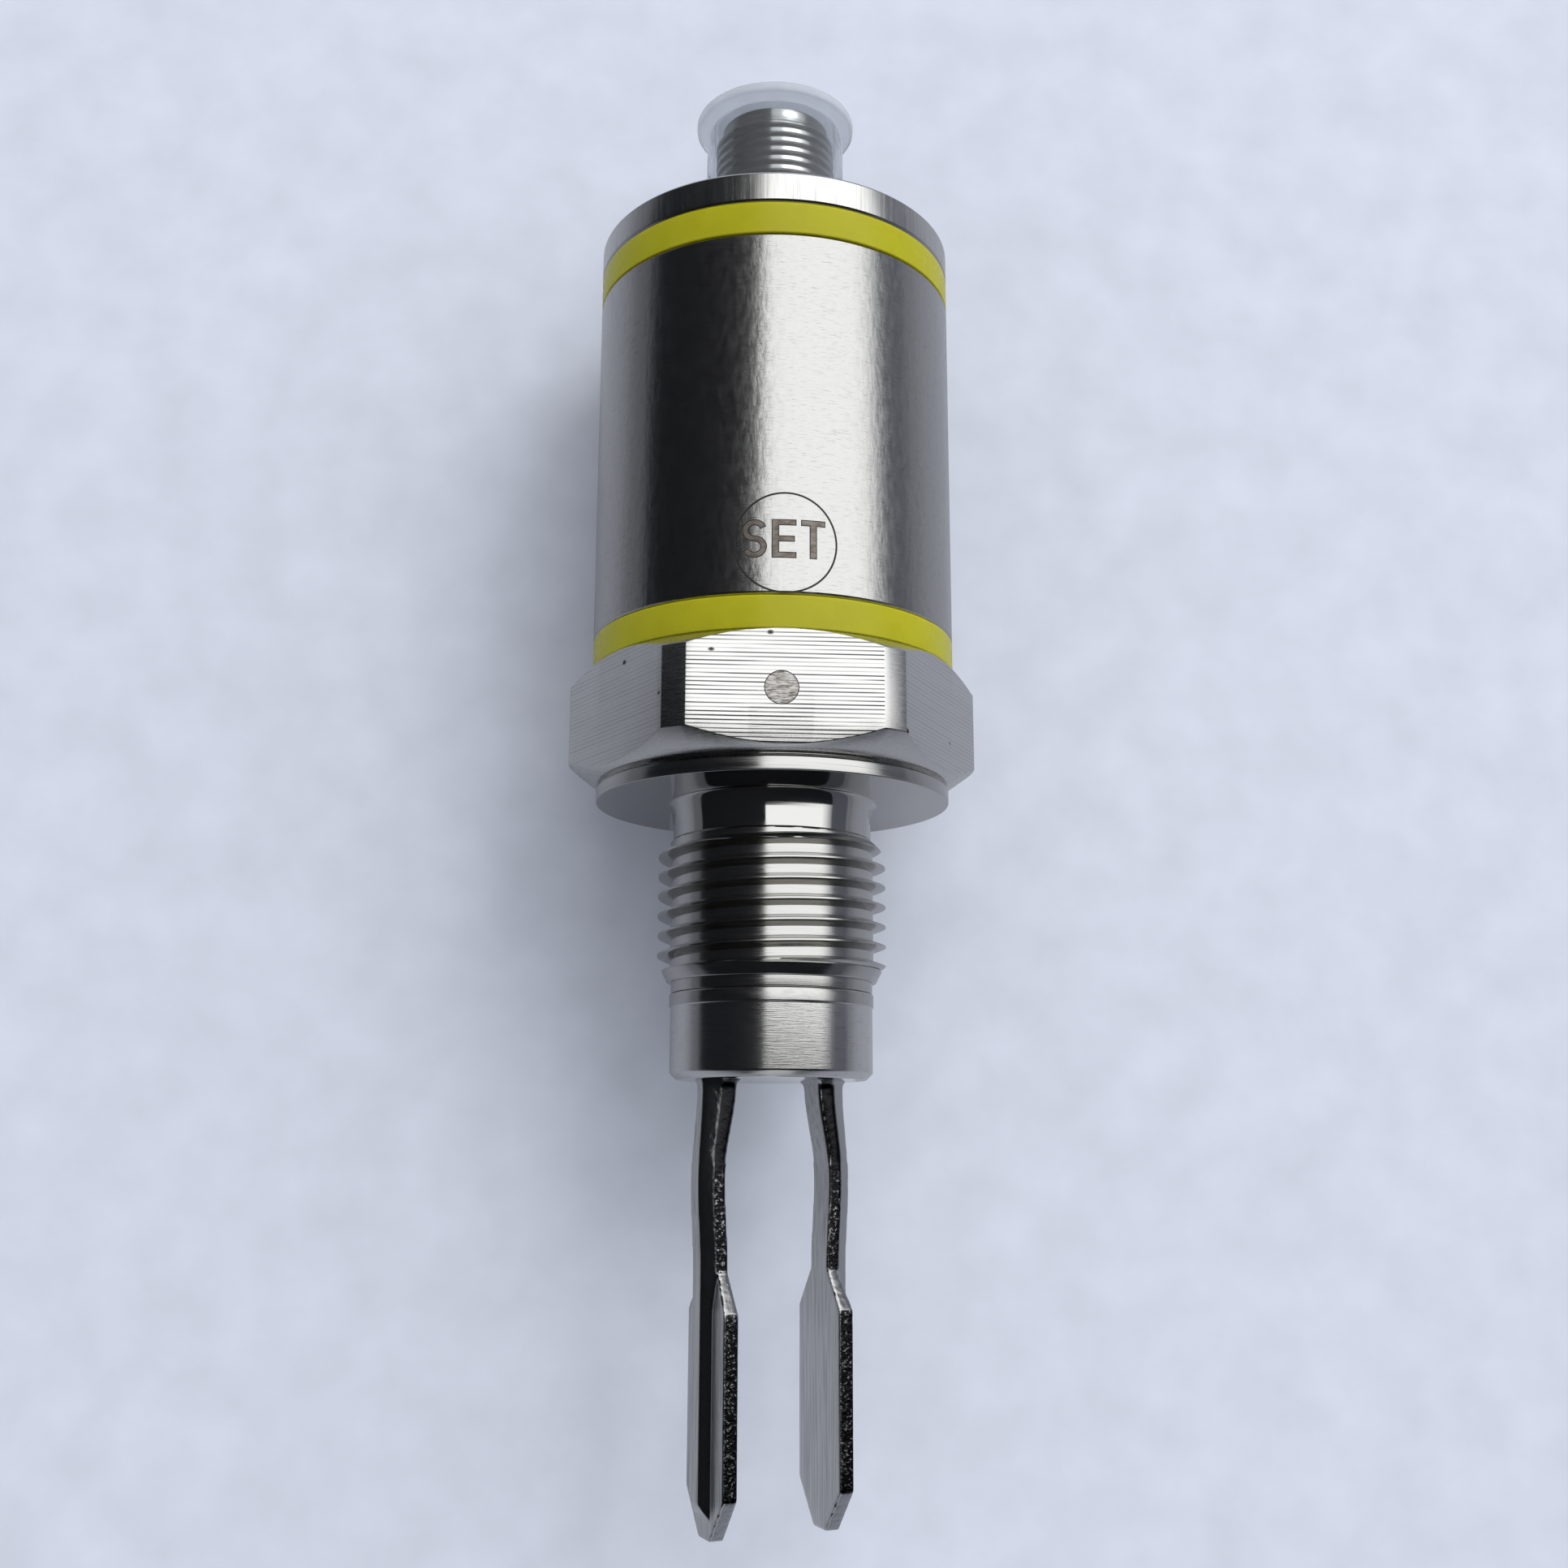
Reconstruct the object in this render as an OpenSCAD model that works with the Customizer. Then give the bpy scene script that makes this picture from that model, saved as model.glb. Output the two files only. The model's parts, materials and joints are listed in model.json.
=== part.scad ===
// Tuning fork level switch. It is modelled upright, with the tool axis on Z and the
// sealing face of the collar at zero, and is then laid on one flat of its hexagon.

/* [Process connection] */
// Major diameter of the process pipe thread
thread_d = 20.955; // [19.6:0.005:24]
// Length of the threaded stretch
thread_len = 13.5; // [10:0.5:20]
// Depth of the chamfer at each end of the thread
thread_chamfer = 1.16; // [0.4:0.02:1.3]
// Diameter of the relief between the thread and the sealing face
neck_d = 18.3; // [17:0.1:19.5]
// Length of the relief
neck_len = 3.4; // [2:0.1:6]
// Fillet at the foot of the sealing face
neck_fillet = 0.6; // [0.2:0.1:1.2]
// Step from the hexagon's flats in to the rim of the sealing collar
collar_step = 0.6; // [0.2:0.1:2]
// Thickness of the sealing collar
collar_t = 1.7; // [1:0.1:4]
// How much wider the hexagon is across its flats than the housing
hex_margin = 0; // [0:0.5:4]
// Depth to which the hexagon's corners are turned off
hex_corner_cut = 0.63; // [0.3:0.01:1]
// Height of the hexagon
hex_t = 10.55; // [8:0.05:16]
// Angle of the chamfers on the hexagon's corners
hex_chamfer_angle = 36; // [20:1:45]
// Thickness of metal between the sealing face and the floor of the electronics space
seat_wall = 3.5; // [2:0.1:8]

/* [Housing] */
// Outside diameter of the sleeve, the rings and the lid
housing_d = 34; // [32:0.5:40]
// Length of the steel sleeve
sleeve_len = 34; // [30:0.5:60]
// Wall of the steel sleeve
sleeve_wall = 1.5; // [0.8:0.1:2]
// Small chamfer on the outer edges of the sleeve and the lid
edge_chamfer = 0.3; // [0.1:0.05:0.6]
// Visible height of each yellow ring
ring_t = 2.95; // [2:0.05:5]
// Length of each ring's skirt inside the sleeve
skirt_len = 4.6; // [3.5:0.1:7]
// Wall of each ring's skirt
skirt_wall = 1.9; // [1.2:0.1:2.4]
// Wall of the spigots inside the skirts
spigot_wall = 2.7; // [2.4:0.1:3.2]
// Room left for the lamps at the end of each skirt
led_room = 1.2; // [1:0.1:2]
// Section of the two housing seals
o_ring_d = 1.6; // [1:0.1:2]
// Height of the lid's rim
lid_t = 3.11; // [2.8:0.01:6]
// Thickness of the lid's plate
lid_plate_t = 2.6; // [1.6:0.1:4]

/* [Fork] */
// Diameter of the nose that carries the fork
nose_d = 18.4; // [17.6:0.1:19.4]
// Length of the nose
nose_len = 7.7; // [5:0.1:12]
// Bevel at the end of the nose
nose_bevel = 0.6; // [0.2:0.1:1.2]
// Length of plain metal between the thread and the weld
weld_land = 0.6; // [0.3:0.1:2]
// Width of the weld band
weld_band = 1.2; // [0.6:0.1:2]
// Height of the weld band over the nose
weld_proud = 0.1; // [0.05:0.05:0.3]
// Bore of the nose and the fitting
nose_bore_d = 15.2; // [14.8:0.1:15.6]
// Thickness of the diaphragm
diaphragm_t = 1.2; // [0.6:0.1:2]
// Length of the tines
tine_len = 38.3; // [32:0.1:80]
// Clear gap between the tines' blades
tine_gap = 9.4; // [7.8:0.1:10]
// Clear gap between the tines' stems
stem_gap = 10; // [9:0.1:10.6]
// Clear gap between the tines where they leave the nose
root_gap = 7.8; // [5:0.1:8.6]
// Lean of a tine's back towards the axis where it leaves the nose
root_lean = 0.4; // [0:0.05:0.8]
// Length over which a tine bends out from its root
root_blend = 8.8; // [4:0.1:12]
// Fillet where a tine meets the nose
root_fillet = 0.7; // [0.2:0.1:1]
// Thickness of a tine's plate
plate_t = 1.4; // [1:0.05:2]
// Width of a tine's stem
stem_w = 3.55; // [2.8:0.05:4.5]
// Length of a tine's stem
stem_len = 16.5; // [13:0.1:20]
// Width of a tine's blade
blade_w = 8.5; // [6:0.1:11]
// Length of the flare from stem to blade
flare_len = 3.3; // [2:0.1:5]
// Length of the tapered tip
tip_len = 3.6; // [2:0.1:6]
// Width of the blade's end
tip_w = 2.5; // [1.5:0.1:4]
// Thickness of the stem's edge, from the inner face to the spine's flank
stem_edge = 1.05; // [0.7:0.05:1.3]
// Angle at which the spine's flanks close in towards its back
flank_angle = 33; // [20:1:38]
// Height of the spine's back over the plate
spine_proud = 0.9; // [0.5:0.05:1.2]
// Length of the bevel at the spine's end
spine_bevel = 1.3; // [0.5:0.1:2]
// Turn of the fork about the axis, against the marked flat
fork_turn = 20; // [0:1:60]

/* [Drive stack] */
// Diameter of the washers and piezo rings
stack_d = 13.6; // [12:0.1:13.8]
// Hole through the washers and piezo rings
stack_hole_d = 4.6; // [4.3:0.1:6]
// Thickness of one ceramic washer
insulator_t = 0.8; // [0.5:0.1:1.5]
// Thickness of one piezo ring
piezo_t = 1.5; // [0.8:0.1:2.5]
// Thickness of one electrode shim
shim_t = 0.2; // [0.1:0.05:0.4]
// Width of an electrode's solder tab
tab_w = 1.6; // [1:0.1:2.4]
// Thickness of the pressure washer
washer_t = 1.5; // [1:0.1:3]
// Diameter of the diaphragm's stud
stud_d = 4; // [3:0.1:4.2]
// Width of the clamp nut across its flats
nut_af = 7; // [6:0.1:9]
// Height of the clamp nut
nut_t = 3.2; // [2:0.1:5]

/* [Electronics] */
// Thickness of the main board
board_t = 1.6; // [1:0.1:2.4]
// Height of the main board's lower edge over the floor of its space
board_foot = 6; // [4:0.5:10]
// Thickness of a ring-shaped lamp board
led_board_t = 0.8; // [0.6:0.1:1.2]
// Number of lamps for each ring
led_count = 6; // [3:1:12]
// Height of one lamp
led_h = 0.8; // [0.5:0.05:0.9]
// Height of each end ring of the board carrier
carrier_ring_t = 1.5; // [1:0.1:3]
// Thickness of the carrier's rails on each side of the board
rail_wall = 1.5; // [1:0.1:2.5]
// Depth to which the board enters each rail
rail_grip = 1; // [0.6:0.1:1.5]
// Diameter of the inner wires
lead_d = 0.6; // [0.4:0.05:0.7]

/* [Connector] */
// Major diameter of the connector thread
connector_d = 12; // [11.6:0.1:12.4]
// Height of the connector over the lid
connector_h = 14; // [11:0.25:18]
// Length of the plain lead-in at the connector's mouth
lead_in_len = 1.2; // [0.8:0.1:3]
// Depth of the lead-in below the thread
lead_in_step = 0.6; // [0.3:0.05:0.7]
// Diameter of the connector's socket
socket_d = 8.6; // [8.2:0.1:8.8]
// Depth of the socket
socket_depth = 10.4; // [9:0.1:10.6]
// Diameter of the inner flange
flange_d = 16; // [15.4:0.1:20]
// Thickness of the inner flange
flange_t = 2.2; // [1.8:0.1:3]
// Section of the seal under the flange
flange_o_ring_d = 1.2; // [0.8:0.1:1.3]
// Diameter of the insulator's body
insert_d = 9.8; // [9.4:0.1:10]
// Height of the insulator's body
insert_h = 6; // [4:0.1:6.4]
// Number of contact pins
pin_count = 4; // [3:1:5]
// Diameter of one contact pin
pin_d = 1; // [0.8:0.05:1.2]
// Diameter of the circle of pins
pin_circle_d = 5; // [4.6:0.1:5.4]
// Distance of the pin tips below the connector's mouth
pin_recess = 1.8; // [1:0.1:3]
// Length of the pins behind the insulator
pin_tail = 1.8; // [1:0.1:3]
// Width of the coding key in the socket
key_w = 1.1; // [0.8:0.1:1.4]
// Height of the coding key over the socket's wall
key_depth = 0.7; // [0.4:0.05:0.9]

/* [Dust cap] */
// Wall of the cap
cap_wall = 0.55; // [0.4:0.05:1]
// Diameter of the cap's rim
cap_rim_d = 15.8; // [14.8:0.1:20]
// Height of the cap's rim
cap_rim_t = 1; // [0.6:0.1:2]
// Thickness of the cap's closed end
cap_end_t = 1; // [0.8:0.1:3]

/* [Fits] */
// Radial clearance between pieces that slide together
slide_fit = 0.05; // [0.02:0.01:0.1]
// Clearance around the cap
cap_fit = 0.3; // [0.2:0.05:0.4]
// Clearance of a seal in its groove
seal_fit = 0.02; // [0.01:0.01:0.05]
// Clearance beside wires and boards
board_fit = 0.3; // [0.2:0.05:0.5]

/* [Hidden] */
$fn = 96;
steel = [0.76, 0.76, 0.75];
dark_steel = [0.58, 0.58, 0.58];
ring_yellow = [0.72, 0.70, 0.20];
ceramic_white = [0.93, 0.92, 0.88];
brass_yellow = [0.79, 0.65, 0.33];
seal_black = [0.10, 0.10, 0.11];
board_green = [0.10, 0.38, 0.22];
chip_black = [0.15, 0.15, 0.16];
milky = [0.90, 0.92, 0.93, 0.6];

// Steps of a fillet drawn as points, and the overlap that joins the lobes of one piece
arc_steps = 8;
fuse = 0.4;

// Sides of a wire, and the length of wire soldered to the board in wire diameters
wire_sides = 8;
solder_lap = 3;

// Width of a seal groove in seal sections
groove_room = 1.3;

// Electronic parts as [place across, place along, width, length, height, side of the board],
// with the place along counted from the middle of the board's carrier
CHIPS = [
    [0, -8, 7, 7, 1, -1],
    [-4.5, 3, 5, 4, 1.5, -1],
    [4.5, 3, 3.5, 5, 2, -1],
    [0, -14, 2.9, 1.6, 1.1, -1],
    [-4, -6, 5, 6, 1.2, 1],
    [4.5, -6, 3, 1.6, 1.6, 1],
    [4.5, -2, 3, 1.6, 1.6, 1]
];

// Round coil on the back of the board: place along, diameter and height
coil_place = 5;
coil_d = 6;
coil_h = 3;

// Radii, from the outside of the housing inwards
housing_r = housing_d / 2;
sleeve_in_r = housing_r - sleeve_wall;
skirt_r = sleeve_in_r - slide_fit;
skirt_in_r = skirt_r - skirt_wall;
spigot_r = skirt_in_r - slide_fit;
space_r = spigot_r - spigot_wall;
groove_r = skirt_in_r - o_ring_d - 2 * seal_fit;
groove_w = groove_room * o_ring_d;
lamp_r = (skirt_r + skirt_in_r) / 2;
hex_flat_r = housing_r + hex_margin / 2;
hex_corner_r = hex_flat_r / cos(30) - hex_corner_cut;
collar_r = hex_flat_r - collar_step;
thread_r = thread_d / 2;
nose_r = nose_d / 2;
nose_bore_r = nose_bore_d / 2;
connector_r = connector_d / 2;

// Heights on the axis, from the sealing face upwards
hex_top = collar_t + hex_t;
sleeve_bottom = hex_top + ring_t;
sleeve_top = sleeve_bottom + sleeve_len;
lid_bottom = sleeve_top + ring_t;
lid_top = lid_bottom + lid_t;
lid_ceiling = lid_top - lid_plate_t;
lower_spigot_end = sleeve_bottom + skirt_len + led_room;
upper_spigot_end = sleeve_top - skirt_len - led_room;
carrier_bottom = lower_spigot_end + led_board_t;
carrier_top = upper_spigot_end - led_board_t;
connector_top = lid_top + connector_h;
flange_bottom = lid_ceiling - flange_t;
pin_bottom = flange_bottom - pin_tail;
board_bottom = seat_wall + board_foot;
board_top = pin_bottom - pin_tail;
board_w = 2 * (space_r - board_fit);
board_face = board_t / 2;

// Heights on the axis, from the sealing face downwards
thread_end = -neck_len - thread_len;
weld_z = thread_end - weld_land;
nose_end = weld_z - nose_len;
stack_floor = nose_end + diaphragm_t;
fork_end = nose_end - tine_len;
blade_top = nose_end - stem_len - flare_len;

// Distances of a tine's faces from the axis along the blade, and how far they shift above it
tine_inner = tine_gap / 2;
tine_outer = tine_inner + plate_t;
tine_back = tine_outer + spine_proud;
stem_shift = (stem_gap - tine_gap) / 2;
root_shift = (stem_gap - root_gap) / 2;
edge_shift = (root_shift + root_lean) / 2;

// The drive stack, from the diaphragm upwards
lower_insulator_z = stack_floor;
lower_shim_z = lower_insulator_z + insulator_t;
drive_z = lower_shim_z + shim_t;
middle_shim_z = drive_z + piezo_t;
sense_z = middle_shim_z + shim_t;
upper_shim_z = sense_z + piezo_t;
upper_insulator_z = upper_shim_z + shim_t;
washer_z = upper_insulator_z + insulator_t;
nut_z = washer_z + washer_t;
stud_top = nut_z + nut_t + shim_t;
tab_r = (stack_d / 2 + nose_bore_r) / 2;
tab_top = stud_top + tab_w;
tab_angles = [50, 130, 270];

// Turns the upright assembly so that it lies on a flat of the hexagon, marked flat up
module laid() {
    rotate([-90, 0, 0]) children();
}

// A ring or disc between two radii
module ring(outer_r, inner_r, height) {
    difference() {
        cylinder(r = outer_r, h = height);
        translate([0, 0, -height]) cylinder(r = inner_r, h = 3 * height);
    }
}

// A seal of round section lying in a groove
module o_ring(centre_r, section_d) {
    rotate_extrude() translate([centre_r, 0]) circle(d = section_d);
}

// The hollow spigot that the fitting and the lid both carry, with its seal groove.
// It grows upwards from zero, and the groove lies at the middle of the ring's skirt.
module spigot(length, groove_z) {
    rotate_extrude() polygon([
        [space_r, 0],
        [spigot_r, 0],
        [spigot_r, groove_z - groove_w / 2],
        [groove_r, groove_z - groove_w / 2],
        [groove_r, groove_z + groove_w / 2],
        [spigot_r, groove_z + groove_w / 2],
        [spigot_r, length],
        [space_r, length]
    ]);
}

// Points of a hollow fillet that leaves an upright wall and runs out under a face above it
function fillet_points(wall, face, radius) = [
    for (i = [0 : arc_steps])
        let (a = 90 * i / arc_steps)
        [wall + radius * (1 - cos(a)), face - radius * (1 - sin(a))]
];

// Hexagon with its corners turned down and chamfered at both ends
module hex_body() {
    rise = tan(hex_chamfer_angle);
    intersection() {
        rotate_extrude() polygon([
            [0, collar_t],
            [collar_r, collar_t],
            [hex_corner_r, collar_t + rise * (hex_corner_r - collar_r)],
            [hex_corner_r, hex_top - rise * (hex_corner_r - housing_r)],
            [housing_r, hex_top],
            [0, hex_top]
        ]);
        translate([0, 0, collar_t]) cylinder(r = hex_flat_r / cos(30), h = hex_t, $fn = 6);
    }
}

module process_fitting() color(steel) laid() {
    neck_r = neck_d / 2;
    difference() {
        union() {
            rotate_extrude() polygon(concat(
                [
                    [0, collar_t + fuse],
                    [0, weld_z],
                    [nose_r, weld_z],
                    [nose_r, thread_end],
                    [thread_r - thread_chamfer, thread_end],
                    [thread_r, thread_end + thread_chamfer],
                    [thread_r, -neck_len - thread_chamfer],
                    [thread_r - thread_chamfer, -neck_len],
                    [neck_r, -neck_len]
                ],
                fillet_points(neck_r, 0, neck_fillet),
                [
                    [collar_r - edge_chamfer, 0],
                    [collar_r, edge_chamfer],
                    [collar_r, collar_t],
                    [spigot_r, collar_t + fuse]
                ]
            ));
            hex_body();
            translate([0, 0, hex_top - fuse])
                spigot(lower_spigot_end - hex_top + fuse, ring_t + skirt_len / 2 + fuse);
        }
        translate([0, 0, seat_wall]) cylinder(r = space_r, h = hex_top);
        translate([0, 0, weld_z - fuse]) cylinder(r = nose_bore_r, h = hex_top - weld_z);
    }
}

// Outline of a tine from the front: stem, flare, blade and tapered tip
function tine_outline() =
    let (
        stem = stem_w / 2,
        blade = blade_w / 2,
        side = concat(
            [
                [tip_w / 2, fork_end],
                [blade, fork_end + tip_len],
                [blade, blade_top],
                [stem, nose_end - stem_len]
            ],
            fillet_points(stem, nose_end, root_fillet),
            [[stem + root_fillet, nose_end + fuse]]
        )
    )
    concat(side, [for (point = reversed(side)) [-point[0], point[1]]]);

// Falls smoothly from one to zero while the step runs from zero to one
function ease(step) = (1 + cos(180 * min(max(step, 0), 1))) / 2;

// Shift of a tine's face at a height: outwards along the stem, and back by the lean at the root
function tine_shift(z, lean) =
    stem_shift * ease((nose_end - root_blend - z) / (stem_len - root_blend))
    - lean * ease((nose_end - z) / root_blend);

// Heights of the points along a bent stem, from the nose down
function stem_rows() = concat(
    [nose_end + fuse],
    [for (i = [0 : arc_steps]) nose_end - root_blend * i / arc_steps],
    [for (i = [1 : arc_steps]) nose_end - root_blend - (stem_len - root_blend) * i / arc_steps]
);

// Side view of a tine's face: its bent stem from the nose down to the flare
function stem_face(distance, lean) = [for (z = stem_rows()) [distance + tine_shift(z, lean), z]];

function reversed(points) = [for (i = [len(points) - 1 : -1 : 0]) points[i]];

// A side view drawn out across the tine
module side_view(points) {
    rotate([90, 0, 0])
        translate([0, 0, -blade_w])
            linear_extrude(2 * blade_w) polygon(points);
}

// The plate of a tine: thin along the stem, full from the flare to the tip
module tine_plate() {
    intersection() {
        side_view(concat(
            stem_face(tine_inner + stem_edge, edge_shift),
            [
                [tine_outer, blade_top],
                [tine_outer, fork_end],
                [tine_inner, fork_end]
            ],
            reversed(stem_face(tine_inner, root_shift))
        ));
        rotate([90, 0, 90]) linear_extrude(2 * tine_back) polygon(tine_outline());
    }
}

// All that lies within one flank of the spine; side is 1 or -1
module within_flank(side) {
    foot = (tine_inner + stem_edge) * sin(flank_angle) + stem_w / 2 * cos(flank_angle);
    rotate([0, 0, side * (90 - flank_angle)])
        side_view(concat(
            [for (z = stem_rows()) [foot + sin(flank_angle) * tine_shift(z, edge_shift), z]],
            [
                [foot, fork_end],
                [-blade_w, fork_end],
                [-blade_w, nose_end + fuse]
            ]
        ));
}

// The spine on a tine's back: two flanks that close in to a flat back with a bevelled end
module tine_spine() {
    middle = tine_inner + stem_edge / 2;
    spine_end = fork_end + tip_len - spine_bevel / 2;
    intersection() {
        side_view(concat(
            stem_face(tine_back, root_lean),
            [
                [tine_back, spine_end],
                [tine_outer, spine_end - spine_bevel],
                [middle, spine_end - spine_bevel]
            ],
            reversed(stem_face(middle, edge_shift))
        ));
        translate([0, -stem_w / 2, fork_end]) cube([2 * tine_back, stem_w, tine_len + fuse]);
        within_flank(1);
        within_flank(-1);
    }
}

// One tine: a plate with a spine on its back
module tine() {
    tine_plate();
    tine_spine();
}

module fork() color(dark_steel) laid() {
    band_r = nose_r + weld_proud;
    rotate_extrude() polygon([
        [0, nose_end],
        [nose_r - nose_bevel, nose_end],
        [nose_r, nose_end + nose_bevel],
        [nose_r, weld_z - weld_band - weld_proud],
        [band_r, weld_z - weld_band],
        [band_r, weld_z - weld_proud],
        [nose_r, weld_z],
        [nose_bore_r, weld_z],
        [nose_bore_r, stack_floor],
        [stud_d / 2, stack_floor],
        [stud_d / 2, stud_top],
        [0, stud_top]
    ]);
    rotate([0, 0, fork_turn])
        for (turn = [0, 180])
            rotate([0, 0, turn]) tine();
}

// One washer of the drive stack
module stack_washer(z, height) {
    translate([0, 0, z]) ring(stack_d / 2, stack_hole_d / 2, height);
}

module lower_insulator() color(ceramic_white) laid() stack_washer(lower_insulator_z, insulator_t);

module upper_insulator() color(ceramic_white) laid() stack_washer(upper_insulator_z, insulator_t);

module drive_piezo() color(dark_steel) laid() stack_washer(drive_z, piezo_t);

module sense_piezo() color(dark_steel) laid() stack_washer(sense_z, piezo_t);

module pressure_washer() color(steel) laid() stack_washer(washer_z, washer_t);

module electrode_shims() color(brass_yellow) laid() {
    levels = [lower_shim_z, middle_shim_z, upper_shim_z];
    for (i = [0 : len(levels) - 1]) {
        stack_washer(levels[i], shim_t);
        rotate([0, 0, tab_angles[i]]) {
            translate([stack_d / 2 - tab_w, -tab_w / 2, levels[i]])
                cube([tab_r + shim_t / 2 - stack_d / 2 + tab_w, tab_w, shim_t]);
            translate([tab_r - shim_t / 2, -tab_w / 2, levels[i]])
                cube([shim_t, tab_w, tab_top - levels[i]]);
        }
    }
}

module clamp_nut() color(steel) laid()
    translate([0, 0, nut_z])
        difference() {
            cylinder(d = nut_af / cos(30), h = nut_t, $fn = 6);
            translate([0, 0, -nut_t]) cylinder(r = stud_d / 2 + seal_fit, h = 3 * nut_t);
        }

// A wire swept along a list of points that all climb
module wire(points) {
    last = len(points) - 1;
    circle_points = [
        for (i = [0 : last], k = [0 : wire_sides - 1])
            let (a = 360 * k / wire_sides)
            points[i] + lead_d / 2 * [cos(a), sin(a), 0]
    ];
    sides = [
        for (i = [0 : last - 1], k = [0 : wire_sides - 1])
            let (next = (k + 1) % wire_sides, row = i * wire_sides)
            [row + k, row + wire_sides + k, row + wire_sides + next, row + next]
    ];
    caps = [
        [for (k = [0 : wire_sides - 1]) k],
        [for (k = [wire_sides - 1 : -1 : 0]) last * wire_sides + k]
    ];
    polyhedron(circle_points, concat(sides, caps));
}

module piezo_leads() color(seal_black) laid() {
    pad_y = board_face + lead_d / 2;
    for (a = tab_angles) {
        side = sin(a) > 0 ? 1 : -1;
        start = [tab_r * cos(a), tab_r * sin(a)];
        wire([
            [start[0], start[1], tab_top],
            [start[0], start[1], seat_wall],
            [start[0], side * pad_y, board_bottom + lead_d],
            [start[0], side * pad_y, board_bottom + lead_d + solder_lap * lead_d]
        ]);
    }
}

// A ring of the housing with the skirt that enters the sleeve
module light_ring() {
    rotate_extrude() polygon([
        [skirt_in_r, 0],
        [housing_r, 0],
        [housing_r, ring_t],
        [skirt_r, ring_t],
        [skirt_r, ring_t + skirt_len],
        [skirt_in_r, ring_t + skirt_len]
    ]);
}

module lower_light_ring() color(ring_yellow) laid()
    translate([0, 0, hex_top]) light_ring();

module upper_light_ring() color(ring_yellow) laid()
    translate([0, 0, lid_bottom]) mirror([0, 0, 1]) light_ring();

// A housing seal at the middle of a skirt
module housing_o_ring(z) {
    translate([0, 0, z]) o_ring(groove_r + seal_fit + o_ring_d / 2, o_ring_d);
}

module lower_o_ring() color(seal_black) laid() housing_o_ring(sleeve_bottom + skirt_len / 2);

module upper_o_ring() color(seal_black) laid() housing_o_ring(sleeve_top - skirt_len / 2);

module housing_sleeve() color(steel) laid()
    rotate_extrude() polygon([
        [sleeve_in_r, sleeve_bottom],
        [housing_r - edge_chamfer, sleeve_bottom],
        [housing_r, sleeve_bottom + edge_chamfer],
        [housing_r, sleeve_top - edge_chamfer],
        [housing_r - edge_chamfer, sleeve_top],
        [sleeve_in_r, sleeve_top]
    ]);

// A ring-shaped lamp board that seats on the end of a spigot
module led_board(z) {
    translate([0, 0, z]) ring(skirt_r - board_fit, space_r, led_board_t);
}

// The lamps of one ring, spaced evenly over the end of the skirt
module leds(z) {
    size = (skirt_r - skirt_in_r) / 2;
    for (i = [0 : led_count - 1])
        rotate([0, 0, 360 * i / led_count])
            translate([lamp_r - size / 2, -size, z]) cube([size, 2 * size, led_h]);
}

module lower_led_board() color(board_green) laid() led_board(lower_spigot_end);

module upper_led_board() color(board_green) laid() led_board(carrier_top);

module lower_leds() color(ceramic_white) laid() leds(lower_spigot_end - led_h);

module upper_leds() color(ceramic_white) laid() leds(upper_spigot_end);

// Two end rings joined by a pair of slotted rails
module board_carrier() color(chip_black) laid() {
    height = carrier_top - carrier_bottom;
    rail_in = board_w / 2 - rail_grip;
    rail_t = board_t + 2 * rail_wall;
    difference() {
        union() {
            for (z = [carrier_bottom, carrier_top - carrier_ring_t])
                translate([0, 0, z]) ring(spigot_r, space_r, carrier_ring_t);
            intersection() {
                translate([0, 0, carrier_bottom]) cylinder(r = spigot_r, h = height);
                for (side = [0, 180])
                    rotate([0, 0, side])
                        translate([rail_in, -rail_t / 2, carrier_bottom])
                            cube([spigot_r, rail_t, height]);
            }
        }
        translate([-board_w / 2 - slide_fit, -board_face - slide_fit, carrier_bottom - height])
            cube([board_w + 2 * slide_fit, board_t + 2 * slide_fit, 3 * height]);
    }
}

module circuit_board() color(board_green) laid()
    translate([-board_w / 2, -board_face, board_bottom])
        cube([board_w, board_t, board_top - board_bottom]);

// A block that stands on the front or the back face of the board
module chip(x, z, width, length, height, side) {
    translate([x - width / 2, side > 0 ? board_face : -board_face - height, z])
        cube([width, height, length]);
}

module board_components() color(chip_black) laid() {
    middle = (carrier_bottom + carrier_top) / 2;
    for (c = CHIPS) chip(c[0], middle + c[1], c[2], c[3], c[4], c[5]);
    translate([0, board_face, middle + coil_place])
        rotate([-90, 0, 0]) cylinder(d = coil_d, h = coil_h);
}

module lid() color(steel) laid() {
    hole_r = connector_r + slide_fit;
    spigot_start = lid_ceiling + fuse;
    rotate_extrude() polygon([
        [hole_r, lid_ceiling],
        [spigot_r - fuse, lid_ceiling],
        [spigot_r - fuse, lid_bottom],
        [housing_r - edge_chamfer, lid_bottom],
        [housing_r, lid_bottom + edge_chamfer],
        [housing_r, lid_top - edge_chamfer],
        [housing_r - edge_chamfer, lid_top],
        [hole_r, lid_top]
    ]);
    translate([0, 0, spigot_start])
        mirror([0, 0, 1])
            spigot(spigot_start - upper_spigot_end, spigot_start - sleeve_top + skirt_len / 2);
}

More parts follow.
